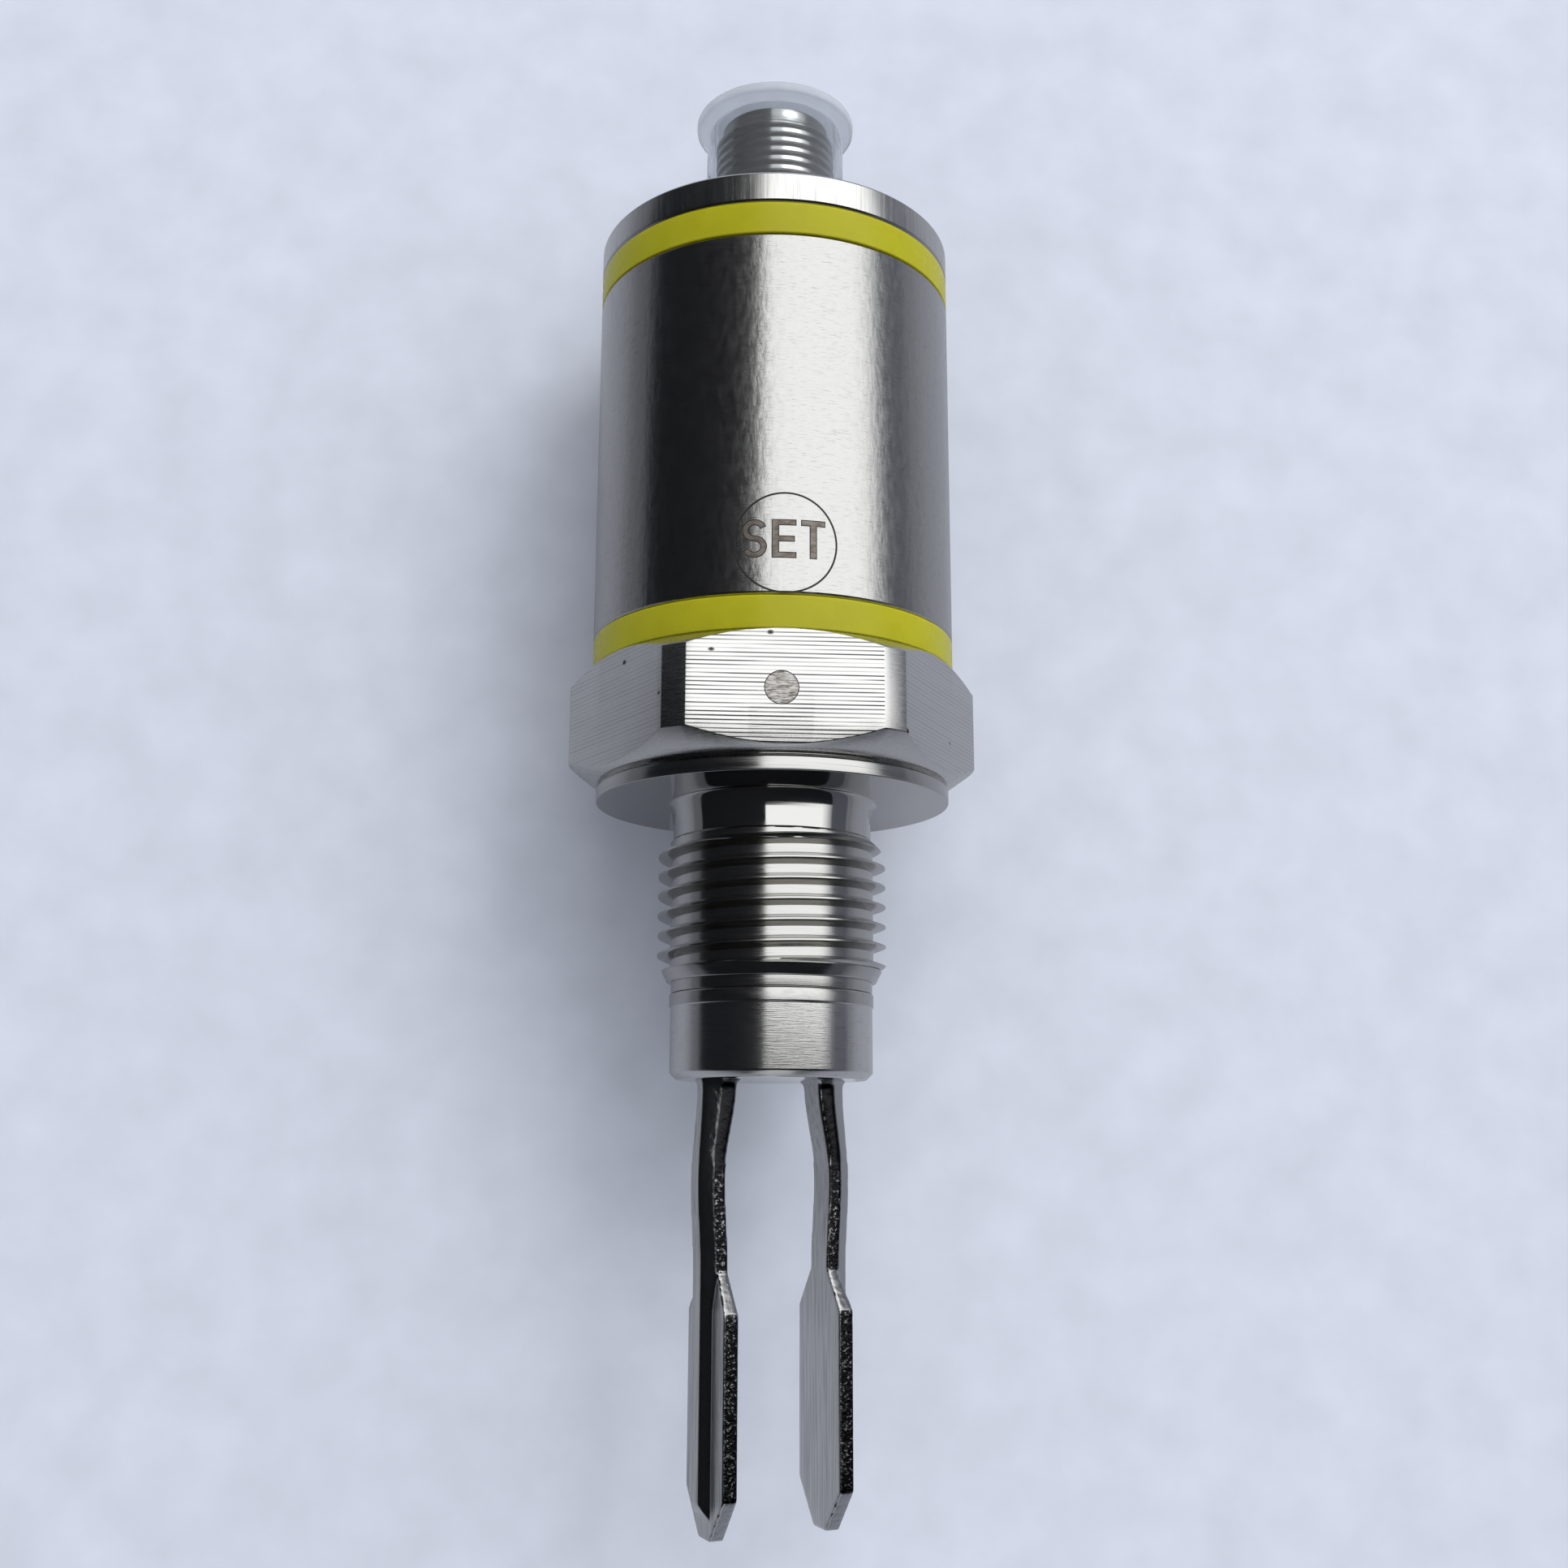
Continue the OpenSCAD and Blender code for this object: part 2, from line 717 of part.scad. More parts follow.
module connector_shell() color(steel) laid() {
    lead_r = connector_r - lead_in_step;
    groove_mid = (connector_r + flange_d / 2) / 2;
    groove = flange_o_ring_d + 2 * seal_fit;
    shoulder = flange_bottom + insert_h + seal_fit;
    difference() {
        rotate_extrude() polygon([
            [socket_d / 2, flange_bottom],
            [flange_d / 2, flange_bottom],
            [flange_d / 2, lid_ceiling],
            [groove_mid + groove / 2, lid_ceiling],
            [groove_mid + groove / 2, lid_ceiling - groove],
            [groove_mid - groove / 2, lid_ceiling - groove],
            [groove_mid - groove / 2, lid_ceiling],
            [connector_r, lid_ceiling],
            [connector_r, connector_top - lead_in_len - lead_in_step],
            [lead_r, connector_top - lead_in_len],
            [lead_r, connector_top],
            [socket_d / 2, connector_top]
        ]);
        translate([0, 0, flange_bottom - flange_t])
            cylinder(r = insert_d / 2 + seal_fit, h = shoulder - flange_bottom + flange_t);
    }
}

module connector_o_ring() color(seal_black) laid()
    translate([0, 0, lid_ceiling - seal_fit - flange_o_ring_d / 2])
        o_ring((connector_r + flange_d / 2) / 2, flange_o_ring_d);

// Positions of the contact pins
module at_pins() {
    for (i = [0 : pin_count - 1])
        rotate([0, 0, 360 * (i + 0.5) / pin_count])
            translate([pin_circle_d / 2, 0, 0]) children();
}

module connector_insert() color(chip_black) laid() {
    face = connector_top - socket_depth;
    key_top = connector_top - pin_recess;
    plug_r = socket_d / 2 - seal_fit;
    difference() {
        union() {
            translate([0, 0, flange_bottom]) cylinder(r = insert_d / 2, h = insert_h);
            translate([0, 0, flange_bottom]) cylinder(r = plug_r, h = face - flange_bottom);
            intersection() {
                translate([0, 0, face - fuse]) cylinder(r = plug_r, h = key_top - face + fuse);
                translate([-key_w / 2, plug_r - key_depth, face - fuse])
                    cube([key_w, plug_r, key_top - face + fuse]);
            }
        }
        translate([0, 0, pin_bottom])
            at_pins() cylinder(r = pin_d / 2 + seal_fit, h = connector_top - pin_bottom);
    }
}

module contact_pins() color(brass_yellow) laid() {
    tip = connector_top - pin_recess;
    at_pins() rotate_extrude() polygon([
        [0, pin_bottom],
        [pin_d / 2, pin_bottom],
        [pin_d / 2, tip - pin_d / 2],
        [pin_d / 4, tip],
        [0, tip]
    ]);
}

module connector_leads() color(seal_black) laid() {
    pad_y = board_face + lead_d / 2;
    for (i = [0 : pin_count - 1]) {
        a = 360 * (i + 0.5) / pin_count;
        x = pin_circle_d / 2 * cos(a);
        y = pin_circle_d / 2 * sin(a);
        side = y >= 0 ? 1 : -1;
        wire([
            [x, side * pad_y, board_top - solder_lap * lead_d],
            [x, side * pad_y, board_top],
            [x, y, pin_bottom - lead_d / 2],
            [x, y, pin_bottom]
        ]);
    }
}

module dust_cap() color(milky) laid() {
    inner_r = connector_r + cap_fit;
    cap_r = inner_r + cap_wall;
    end_z = connector_top + cap_fit;
    cap_top = end_z + cap_end_t;
    rotate_extrude() polygon([
        [inner_r, lid_top + cap_fit],
        [cap_r, lid_top + cap_fit],
        [cap_r, cap_top - cap_rim_t],
        [cap_rim_d / 2, cap_top - cap_rim_t],
        [cap_rim_d / 2, cap_top],
        [0, cap_top],
        [0, end_z],
        [inner_r, end_z]
    ]);
}

process_fitting();
fork();
lower_insulator();
drive_piezo();
sense_piezo();
electrode_shims();
upper_insulator();
pressure_washer();
clamp_nut();
piezo_leads();
lower_light_ring();
lower_o_ring();
housing_sleeve();
lower_led_board();
lower_leds();
board_carrier();
circuit_board();
board_components();
upper_led_board();
upper_leds();
upper_light_ring();
upper_o_ring();
lid();
connector_shell();
connector_o_ring();
connector_insert();
contact_pins();
connector_leads();
dust_cap();
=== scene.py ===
"""Looks of a tuning fork level switch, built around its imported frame.

The part lies on one flat of its hexagon. +Y runs along the tool axis to the connector, the
fork points to -Y and +Z is up, so every turned piece is a path of (radius, y) turned about Y.
"""

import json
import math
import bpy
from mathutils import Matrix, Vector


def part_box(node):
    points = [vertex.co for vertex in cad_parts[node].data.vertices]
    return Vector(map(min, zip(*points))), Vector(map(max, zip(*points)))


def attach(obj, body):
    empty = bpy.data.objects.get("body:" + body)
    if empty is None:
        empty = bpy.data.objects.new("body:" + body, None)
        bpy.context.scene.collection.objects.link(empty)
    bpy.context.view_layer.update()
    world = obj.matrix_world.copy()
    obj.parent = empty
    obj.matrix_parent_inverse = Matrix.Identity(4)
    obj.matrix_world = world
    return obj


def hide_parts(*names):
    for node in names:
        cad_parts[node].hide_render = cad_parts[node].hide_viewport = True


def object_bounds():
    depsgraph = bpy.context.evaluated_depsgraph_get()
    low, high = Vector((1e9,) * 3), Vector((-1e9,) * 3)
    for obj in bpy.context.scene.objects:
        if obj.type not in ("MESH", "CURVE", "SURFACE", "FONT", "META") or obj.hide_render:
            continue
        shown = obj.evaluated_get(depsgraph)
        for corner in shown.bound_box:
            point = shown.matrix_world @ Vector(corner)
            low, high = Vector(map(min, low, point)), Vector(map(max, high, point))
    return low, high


bl_info = {
    "name": "Level Switch Looks",
    "version": (1, 0, 0),
    "blender": (4, 5, 0),
    "location": "View3D > Sidebar > Level Switch",
    "description": "Builds the visible pieces, finishes and stage of a tuning fork level switch",
    "category": "Object",
}

import bmesh
import bpy
from bpy.props import FloatProperty, FloatVectorProperty, IntProperty, PointerProperty
from bpy.types import Operator, Panel, PropertyGroup
from mathutils import Matrix, Vector, noise

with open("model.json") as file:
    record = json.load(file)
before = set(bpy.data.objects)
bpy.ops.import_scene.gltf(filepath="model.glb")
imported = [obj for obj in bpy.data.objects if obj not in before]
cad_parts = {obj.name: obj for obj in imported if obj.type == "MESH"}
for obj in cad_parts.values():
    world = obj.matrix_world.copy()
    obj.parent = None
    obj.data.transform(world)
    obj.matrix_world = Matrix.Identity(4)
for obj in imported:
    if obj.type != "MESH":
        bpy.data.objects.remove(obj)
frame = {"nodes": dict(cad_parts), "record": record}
CAD_BOX = [list(corner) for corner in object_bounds()]

MM = 0.001
FULL_TURN = 2 * math.pi
HEX_FLATS = 6

# Steps round a turned piece, a corner strip of the hexagon, the SET ring, the dot and a contact pin
SIDES = 144
STRIP_STEPS = 4
RING_SIDES = 96
DOT_SIDES = 64
PIN_SIDES = 32
# Steps along a rounded corner, the neck's hollow, a bowl of the S and a straight stroke
CORNER_STEPS = 4
NECK_STEPS = 8
BOWL_STEPS = 24
STROKE_STEPS = 12
# Steps along one pitch of the pipe thread and of the connector thread
PIPE_STEPS = 24
CONNECTOR_STEPS = 16
# Rows along a tine's stem and in its root fillet, and smoothing passes over a tine and its root
STEM_ROWS = 24
FLARE_ROWS = 5
CAST_PASSES = 3
ROOT_PASSES = 14
# Range of a normal's x or z over which the casting's surface becomes a ground face or a raw edge
GROUND_RANGE = (0.9, 0.98)
RAW_RANGE = (0.86, 0.92)

# Distance at which points merge, and within which a face counts as lying on a surface
WELD = 1e-6
TOUCH = 0.02 * MM
# Height of tool marks and moulded textures, height of casting grain, and distance of the milled lines
TOOL_MARK = 0.02 * MM
CAST_MARK = 0.08 * MM
MILL_FEED = 0.37 * MM
# Angle from which an edge is shaded sharp
SHARP_ANGLE = math.radians(34)
# Angle from which an edge of the hexagon is broken, and steps across a broken edge
BREAK_ANGLE = math.radians(15)
BREAK_STEPS = 2
# Lean of a normal along the axis from which a face is a chamfer of the hexagon or an end of the lid
CHAMFER_LEAN = 0.3
LID_LEAN = 0.2
# Upward lean of a normal from which a flat of the hexagon is the marked one
MARKED_LEAN = 0.9
# Largest share of a side that one rounded corner takes
CORNER_SHARE = 0.45

# Width of the photograph in pixels, and of the camera's sensor in millimetres
IMAGE_SIZE = 1932
SENSOR_WIDTH = 36.0
# Nearest distance that the camera sees
CLIP_START = 10 * MM


def linear(code):
    """Turns an sRGB hex colour into linear red, green and blue."""
    parts = [int(code[i:i + 2], 16) / 255 for i in (1, 3, 5)]
    return tuple(p / 12.92 if p <= 0.04045 else ((p + 0.055) / 1.055) ** 2.4 for p in parts)


def length(name, millimetres, description):
    """A length property, kept in metres and given here in millimetres."""
    return FloatProperty(name=name, description=description, default=millimetres * MM,
                         precision=5, unit="LENGTH")


def angle(name, degrees, description):
    """An angle property, given here in degrees."""
    return FloatProperty(name=name, description=description, default=math.radians(degrees),
                         subtype="ANGLE")


def number(name, value, description):
    """A plain number property."""
    return FloatProperty(name=name, description=description, default=value)


def colour(name, code, description):
    """A colour property with an sRGB hex default."""
    return FloatVectorProperty(name=name, description=description, default=linear(code),
                               size=3, min=0, max=1, subtype="COLOR")


class SwitchSizes(PropertyGroup):
    """Sizes that the frame's boxes don't give."""

    edge_round: length("Edge rounding", 0.12, "Radius on the edges of the turned pieces")
    collar_rim: length("Collar rim", 1.2, "Height of the collar's turned rim over the sealing face")
    collar_top: length("Collar top", 1.7, "Height at which the hexagon's chamfer starts")
    collar_radius: length("Collar radius", 16.4, "Radius of the sealing collar")
    groove_depth: length("Groove depth", 0.45, "Depth of the groove between collar and hexagon")
    neck_radius: length("Neck radius", 9.15, "Radius of the relief over the thread")
    neck_fillet: length("Neck fillet", 0.6, "Width of the hollow between the neck and the sealing face")
    neck_blend: length("Neck blend", 2.8, "Length of the hollow along the neck")
    hex_turned: angle("Turned corner", 3.5, "Half angle of a turned corner strip")
    hex_chamfer: angle("Corner chamfer", 36, "Angle of the hexagon's chamfers")
    thread_pitch: length("Thread pitch", 1.8143, "Distance between crests of the pipe thread")
    thread_crest: length("Thread crest", 10.4775, "Crest radius of the pipe thread")
    thread_root: length("Thread root", 9.32, "Root radius of the pipe thread")
    thread_top: length("Thread top", -3.4, "Height at which the thread ends below the neck")
    thread_end: length("Thread end", -16.2, "Height of the thread's lower end")
    thread_roots: number("Thread root flat", 0.44, "Share of the pitch that lies at the root")
    thread_crests: number("Thread crest flat", 0.1, "Share of the pitch that lies at the crest")
    lead_top: length("Lead-in top", -15.4, "Height of the upper edge of the cone under the thread")
    lead_end: length("Lead-in end", -16.5, "Height of the lower edge of the cone under the thread")
    lead_radius: length("Lead-in radius", 10.1, "Radius at the cone's upper edge")
    lead_foot: length("Lead-in foot", 9.55, "Radius at the cone's lower edge")
    weld: length("Weld", -17.5, "Height of the seam between fitting and fork")
    weld_band: length("Weld band", 1.2, "Width of the welded band")
    weld_proud: length("Weld height", 0.1, "Height of the welded band over the nose")
    bore: length("Bore", 7.6, "Radius of the bore through fitting and nose")
    seat: length("Seat", 3.5, "Height of the floor of the electronics space")
    space: length("Space", 10.8, "Radius of the electronics space")
    spigot: length("Spigot", 13.5, "Radius of the spigots inside the rings")
    seal_floor: length("Seal floor", 11.91, "Radius at the floor of a seal groove")
    seal_room: length("Seal room", 1.04, "Half width of a seal groove")
    sleeve_chamfer: length("Sleeve chamfer", 0.3, "Chamfer at the ends of sleeve and lid")
    sleeve_round: length("Sleeve rounding", 0.06, "Radius on the edges of sleeve and lid")
    sleeve_wall: length("Sleeve wall", 1.5, "Wall of the steel sleeve")
    skirt: length("Skirt", 15.45, "Outer radius of the rings' skirts")
    skirt_bore: length("Skirt bore", 13.55, "Inner radius of the rings")
    lid_plate: length("Lid plate", 2.6, "Thickness of the lid's plate")
    lid_hole: length("Lid hole", 6.05, "Radius of the hole for the connector")
    nose_radius: length("Nose radius", 9.2, "Radius of the nose that carries the fork")
    nose_end: length("Nose end", -25.2, "Height of the diaphragm's face")
    nose_bevel: length("Nose bevel", 0.6, "Bevel at the nose's end")
    diaphragm: length("Diaphragm", 1.2, "Thickness of the diaphragm")
    tine_gap: length("Tine gap", 9.4, "Gap between the tines' blades")
    stem_gap: length("Stem gap", 10.0, "Gap between the tines' stems")
    root_gap: length("Root gap", 7.8, "Gap between the tines where they leave the nose")
    root_lean: length("Root lean", 0.4, "Lean of a tine's back where it leaves the nose")
    root_blend: length("Root blend", 8.8, "Length over which a tine bends out from its root")
    root_flare: length("Root flare", 0.4, "Fillet where a tine leaves the nose")
    plate: length("Plate", 1.4, "Thickness of a tine's plate")
    stem_width: length("Stem width", 3.55, "Width of a tine's stem")
    stem_end: length("Stem end", -41.7, "Height at which the stem starts to flare")
    blade_width: length("Blade width", 8.5, "Width of a tine's blade")
    blade_top: length("Blade top", -45.0, "Height at which the blade has its full width")
    blade_end: length("Blade end", -59.9, "Height at which the blade's tip starts to taper")
    tip_width: length("Tip width", 2.5, "Width of a tine's end")
    stem_edge: length("Stem edge", 1.05, "Thickness of the stem's edge up to the spine's flank")
    flank: angle("Flank", 33, "Angle at which the spine's flanks close in")
    spine_proud: length("Spine height", 0.9, "Height of the spine's back over the plate")
    spine_end: length("Spine end", -60.55, "Height of the spine's end")
    spine_bevel: length("Spine bevel", 1.3, "Length of the bevel at the spine's end")
    fork_turn: angle("Fork turn", 20, "Turn of the fork against the marked flat")
    cast_voxel: length("Cast detail", 0.15, "Smallest detail of the cast tines")
    cast_relief: length("Cast relief", 0.02, "Depth of the hollows in the raw edges")
    cast_grain: length("Cast grain", 0.5, "Size of the hollows in the raw edges")
    root_end: length("Root end", -32.5, "Height down to which the tines are well rounded")
    root_fade: length("Root fade", 2.0, "Length over which the raw edges begin below the roots")
    stud: length("Stud", 2.0, "Radius of the stud that carries the drive stack")
    connector_pitch: length("Connector pitch", 1.0, "Distance between crests of the connector thread")
    connector_root: length("Connector root", 5.4, "Root radius of the connector thread")
    connector_roots: number("Connector root flat", 0.16, "Share of the pitch that lies at the root")
    connector_crests: number("Connector crest flat", 0.4, "Share of the pitch that lies at the crest")
    connector_play: length("Connector play", 0.05, "Play of the thread's crest in the lid's hole")
    connector_sink: length("Connector sink", 0.02, "Depth of the lead-in under the thread's root")
    connector_rise: length("Connector rise", 0.3, "Height over the lid at which the thread starts")
    connector_foot: length("Connector foot", 0.1, "Depth in the lid at which the tube narrows")
    connector_lead: length("Connector lead-in", 1.2, "Length of the plain lead-in at the mouth")
    socket: length("Socket", 4.3, "Radius of the connector's socket")
    insert_bore: length("Insert bore", 4.92, "Radius of the bore around the insert")
    insert_shoulder: length("Insert shoulder", 56.48, "Height of the shoulder over the insert")
    pin_radius: length("Pin radius", 0.5, "Radius of a contact pin")
    pin_circle: length("Pin circle", 2.5, "Radius of the circle of pins")
    pin_count: IntProperty(name="Pins", description="Number of contact pins", default=4, min=1)
    cap_wall: length("Cap wall", 0.55, "Wall of the dust cap")
    cap_bore: length("Cap bore", 6.3, "Inner radius of the dust cap")
    cap_rim: length("Cap rim", 1.0, "Height of the cap's rim")
    cap_end: length("Cap end", 1.0, "Thickness of the cap's closed end")
    cap_round: length("Cap rounding", 0.36, "Radius on the edges of the cap")
    mark_height: length("Mark height", 19.9, "Height of the SET spot's centre")
    mark_radius: length("Mark radius", 4.5, "Radius of the SET spot's ring")
    mark_line: length("Mark line", 0.17, "Width of the etched ring")
    mark_proud: length("Mark film", 0.012, "Height of an etched film over the steel")
    letter_height: length("Letter height", 3.35, "Height of the letters")
    letter_width: length("Letter width", 2.0, "Width of a letter")
    letter_step: length("Letter step", 2.55, "Distance between the middles of two letters")
    letter_side: length("Letter side", -0.14, "Place of the middle letter beside the ring's centre")
    letter_rise: length("Letter rise", 0.34, "Height of the letters' middle over the ring's centre")
    letter_stroke: length("Letter stroke", 0.5, "Width of an upright stroke")
    letter_bar: length("Letter bar", 0.4, "Width of a bar or bowl")
    letter_mouth: angle("Letter mouth", 25, "Angle at which the bowls of the S end")
    letter_short: number("Letter short bar", 0.93, "Share of the E's width that its middle bar fills")
    letter_edge: length("Letter edge", 0.08, "Width of the dark edge round the etched areas")
    dot_side: length("Dot side", -0.3, "Place of the orientation dot across the flat")
    dot_height: length("Dot height", 7.0, "Height of the orientation dot")
    dot_radius: length("Dot radius", 1.5, "Radius of the orientation dot")


class SwitchColours(PropertyGroup):
    """Colours of the finishes."""

    steel: colour("Steel", "#B4B3AF", "Stainless steel seen head on")
    milled: colour("Milled steel", "#CBCAC6", "Bright face-milled stainless steel")
    # Painted shade: the dark bottom of tool marks, pits and scores is painted into the steel's colour
    painted_groove_shade: colour("Tool mark", "#38383A", "Shaded bottom of a deep tool mark")
    cast: colour("Cast steel", "#A9A9A8", "Cast and blasted stainless steel")
    # Painted dark reflection on the raw cast edges, standing in for the dark room that they mirror
    painted_dark_edge: colour("Painted dark edge", "#17171A", "Painted dark reflection on the raw edges of the casting")
    etch: colour("Etched steel", "#675D53", "Laser-etched steel")
    etch_edge: colour("Etch edge", "#2C2926", "Burnt edge of an etched area")
    yellow: colour("Yellow ring", "#AFAB20", "Tinted translucent plastic")
    milky: colour("Milky cap", "#F1F4F7", "Translucent polyethylene")
    black: colour("Black plastic", "#26272A", "Moulded black plastic")
    rubber: colour("Seal rubber", "#1A1A1B", "Black nitrile rubber")
    board: colour("Board", "#1C5A38", "Solder mask on the boards")
    lamp: colour("Lamp", "#E9E4CF", "Clear lamp bodies")
    alumina: colour("Alumina", "#E8E5DC", "White ceramic")
    piezo: colour("Piezo", "#7D786B", "Fired piezo ceramic")
    brass: colour("Brass", "#D8B45C", "Plated brass")
    floor: colour("Floor", "#D7DBE7", "Pale foam sheet under the part")
    room: colour("Room", "#E4E8F0", "Even light of the room")
    dark_felt: colour("Dark felt", "#1B1C20", "Dark parts of the room that the steel mirrors")
    grey_felt: colour("Grey felt", "#7A7D84", "Wall beside the window that the steel mirrors")
    # Painted shade: the floor cards in this colour darken the floor that the steel mirrors
    shaded_floor_felt: colour("Floor felt", "#54565C", "Dim floor that the steel mirrors")


class SwitchStage(PropertyGroup):
    """Camera and lights, with the camera given as it was fitted to the photograph."""

    focal_pixels: number("Focal length", 2103.0, "Focal length in image pixels")
    origin_x: number("Origin across", 951.53, "Image column of the part's origin")
    origin_y: number("Origin down", 994.22, "Image row of the part's origin")
    origin_depth: length("Origin depth", 159.45, "Distance of the origin along the view")
    pitch: angle("Pitch", 11.84304, "Lean of the view towards the connector")
    turn: angle("Turn", 4, "Turn of the view about the tool axis")
    roll: angle("Roll", 0.16043, "Roll of the camera about its view")
    window_level: number("Window", 1.25, "Brightness of the large soft light")
    window_lean: angle("Window lean", 29.5, "Lean of the window's middle from overhead")
    window_spread: angle("Window spread", 40.5, "Half angle that the window fills")
    window_fade: angle("Window fade", 15, "Angle over which the window fades on the right")
    window_distance: length("Window distance", 1500, "Distance of the window from the part")
    window_start: length("Window start", -45, "Height on the tool axis at which the window starts")
    window_length: length("Window length", 5400, "Length of the window along the tool axis")
    sun_level: number("Daylight", 4.7, "Brightness of the light that casts the shadows")
    sun_size: length("Daylight size", 1300, "Width of the daylight")
    sun_distance: length("Daylight distance", 2000, "Height of the daylight over the part")
    sun_lean: angle("Daylight lean", 30, "Lean of the daylight to the right")
    sun_rise: angle("Daylight rise", 36, "Lean of the daylight to the connector's end")
    floor_reach: length("Floor reach", 2500, "Half width of the floor")
    flag_reach: length("Flag reach", 4000, "Half length of the dark flags along the tool axis")
    left_flag_side: length("Left flag side", -170, "Place of the left flag's upper edge")
    left_flag_height: length("Left flag height", 880, "Height of the left flag's upper edge")
    right_flag_side: length("Right flag side", 930, "Place of the right flag's upper edge")
    right_flag_height: length("Right flag height", 370, "Height of the right flag's upper edge")
    shade_place: number("Shade place", 0.97, "Share of the window's distance at which its shade hangs")
    card_start: length("Card start", 9.5, "Distance at which the floor cards start")
    card_reach: length("Card reach", 950, "Distance at which flags and cards end")
    card_lift: length("Card lift", 1, "Height of the floor cards over the floor")
    cover_start: length("Cover start", 20, "Distance at which the cards' cover starts to rise")
    left_cover_end: length("Left cover end", 100, "Distance at which the left card has its full cover")
    left_near: number("Left near cover", 0.3, "Cover of the left card beside the part")
    left_far: number("Left far cover", 0.85, "Full cover of the left card")
    right_cover_end: length("Right cover end", 170, "Distance at which the right card has its full cover")
    right_near: number("Right near cover", 0.36, "Cover of the right card beside the part")
    right_far: number("Right far cover", 0.75, "Full cover of the right card")
    room_level: number("Room", 0.62, "Brightness of the even room light")
    backdrop_level: number("Backdrop", 0.8, "Brightness of the pale surroundings")


def sizes():
    """Sizes of the open scene."""
    return bpy.context.scene.switch_sizes


def colours():
    """Colours of the open scene."""
    return bpy.context.scene.switch_colours


def span(node):
    """Lowest and highest y of a CAD node."""
    low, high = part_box(node)
    return low.y, high.y


def reach(node):
    """Largest radius of a turned CAD node."""
    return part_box(node)[1].x


# Nodes

def fill(tree, made, inputs):
    """Sets a node's inputs, by name or number, to values or to links from other nodes."""
    for key, value in inputs.items():
        if isinstance(value, bpy.types.Node):
            value = value.outputs[0]
        if isinstance(value, bpy.types.NodeSocket):
            tree.links.new(value, made.inputs[key])
        else:
            made.inputs[key].default_value = value


def add(tree, kind, inputs=None, **settings):
    """Adds one node with its settings and links."""
    made = tree.nodes.new(kind)
    for key, value in settings.items():
        setattr(made, key, value)
    fill(tree, made, inputs or {})
    return made


def surface(name, inputs, *patterns):
    """Starts a material with one Principled shader and one noise for each pattern.

    A pattern holds the size of its features in millimetres, its detail and its roughness. The result is
    the material, its tree, its shader, its Object coordinates and the noises.
    """
    material = bpy.data.materials.new(name)
    material.use_nodes = True
    tree = material.node_tree
    tree.nodes.clear()
    shader = add(tree, "ShaderNodeBsdfPrincipled", inputs)
    add(tree, "ShaderNodeOutputMaterial", {"Surface": shader})
    place = add(tree, "ShaderNodeTexCoord").outputs["Object"]
    noises = [add(tree, "ShaderNodeTexNoise", {
        "Vector": add(tree, "ShaderNodeMapping", {"Vector": place, "Scale": per_mm(*size)}),
        "Scale": 1.0, "Detail": detail, "Roughness": rough}) for size, detail, rough in patterns]
    return material, tree, shader, place, *noises


def per_mm(x, y, z):
    """Pattern scale whose features measure these millimetres along each axis."""
    return (1 / (x * MM), 1 / (y * MM), 1 / (z * MM))


# Finishes

def tooled_steel(name, grain, rough, bump, marks=0.0, wear=0.3, patch=(7, 5, 7), bright=False,
                 anisotropic=0.0):
    """Stainless steel with tool lines.

    Grain and patch give the size of the lines and of the worn patches in millimetres.
    """
    material, tree, shader, _, lines, cloud = surface(
        name, {"Metallic": 1.0, "Anisotropic": anisotropic}, (grain, 3.0, 0.6), (patch, 4.0, 0.5))
    worn = add(tree, "ShaderNodeMath", {0: cloud, 1: wear, 2: lines}, operation="MULTIPLY_ADD")
    # Painted shade: the deepest tool lines are darkened towards the painted groove shade, by up to the
    # share that marks gives
    dark = add(tree, "ShaderNodeMapRange", {
        "Value": lines, "From Min": 0.30, "From Max": 0.44, "To Min": marks, "To Max": 0.0})
    clean = colours().milled if bright else colours().steel
    tint = add(tree, "ShaderNodeMix", {
        0: dark, 6: (*clean, 1), 7: (*colours().painted_groove_shade, 1)}, data_type="RGBA")
    fill(tree, shader, {
        "Base Color": tint.outputs[2],
        "Roughness": add(tree, "ShaderNodeMapRange", {
            "Value": worn, "From Min": 0.35 * (1 + wear), "From Max": 0.65 * (1 + wear),
            "To Min": rough[0], "To Max": rough[1]}),
        "Normal": add(tree, "ShaderNodeBump", {
            "Strength": bump, "Distance": TOOL_MARK, "Height": worn})})
    if anisotropic:
        fill(tree, shader, {"Tangent": add(tree, "ShaderNodeTangent", direction_type="RADIAL", axis="Y")})
    return material


def brushed_steel():
    # Belt-brushed around the axis: short fine streaks whose deepest lines carry painted shade, and faint
    # ripples that fray the reflections.
    return tooled_steel("Belt-brushed stainless steel", (1.0, 0.08, 1.0), (0.16, 0.24), 0.3, marks=0.35,
                        wear=2.6, patch=(0.5, 1.4, 0.5), anisotropic=0.3)


def turned_steel():
    # Finish-turned: fine even rings with sharp bright and dark reflections, and painted shade in the
    # deepest rings.
    return tooled_steel("Finish-turned stainless steel", (30, 0.16, 30), (0.12, 0.26), 0.35, marks=0.35)


def polished_steel():
    # Polished seat and neck: an almost clear mirror with a faint trace of the polishing mop.
    return tooled_steel("Polished stainless steel", (6, 0.5, 6), (0.05, 0.11), 0.03)


def threaded_steel():
    # Cut thread: bright flanks with fine tool lines along the helix.
    return tooled_steel("Thread-cut stainless steel", (6, 0.12, 6), (0.12, 0.24), 0.15)


def lapped_steel():
    # Ground rim of the lid: bright and soft, with streaks that run across the rim and carry painted
    # shade.
    return tooled_steel("Ground stainless steel rim", (0.35, 9, 0.35), (0.18, 0.3), 0.3, marks=0.3,
                        bright=True)


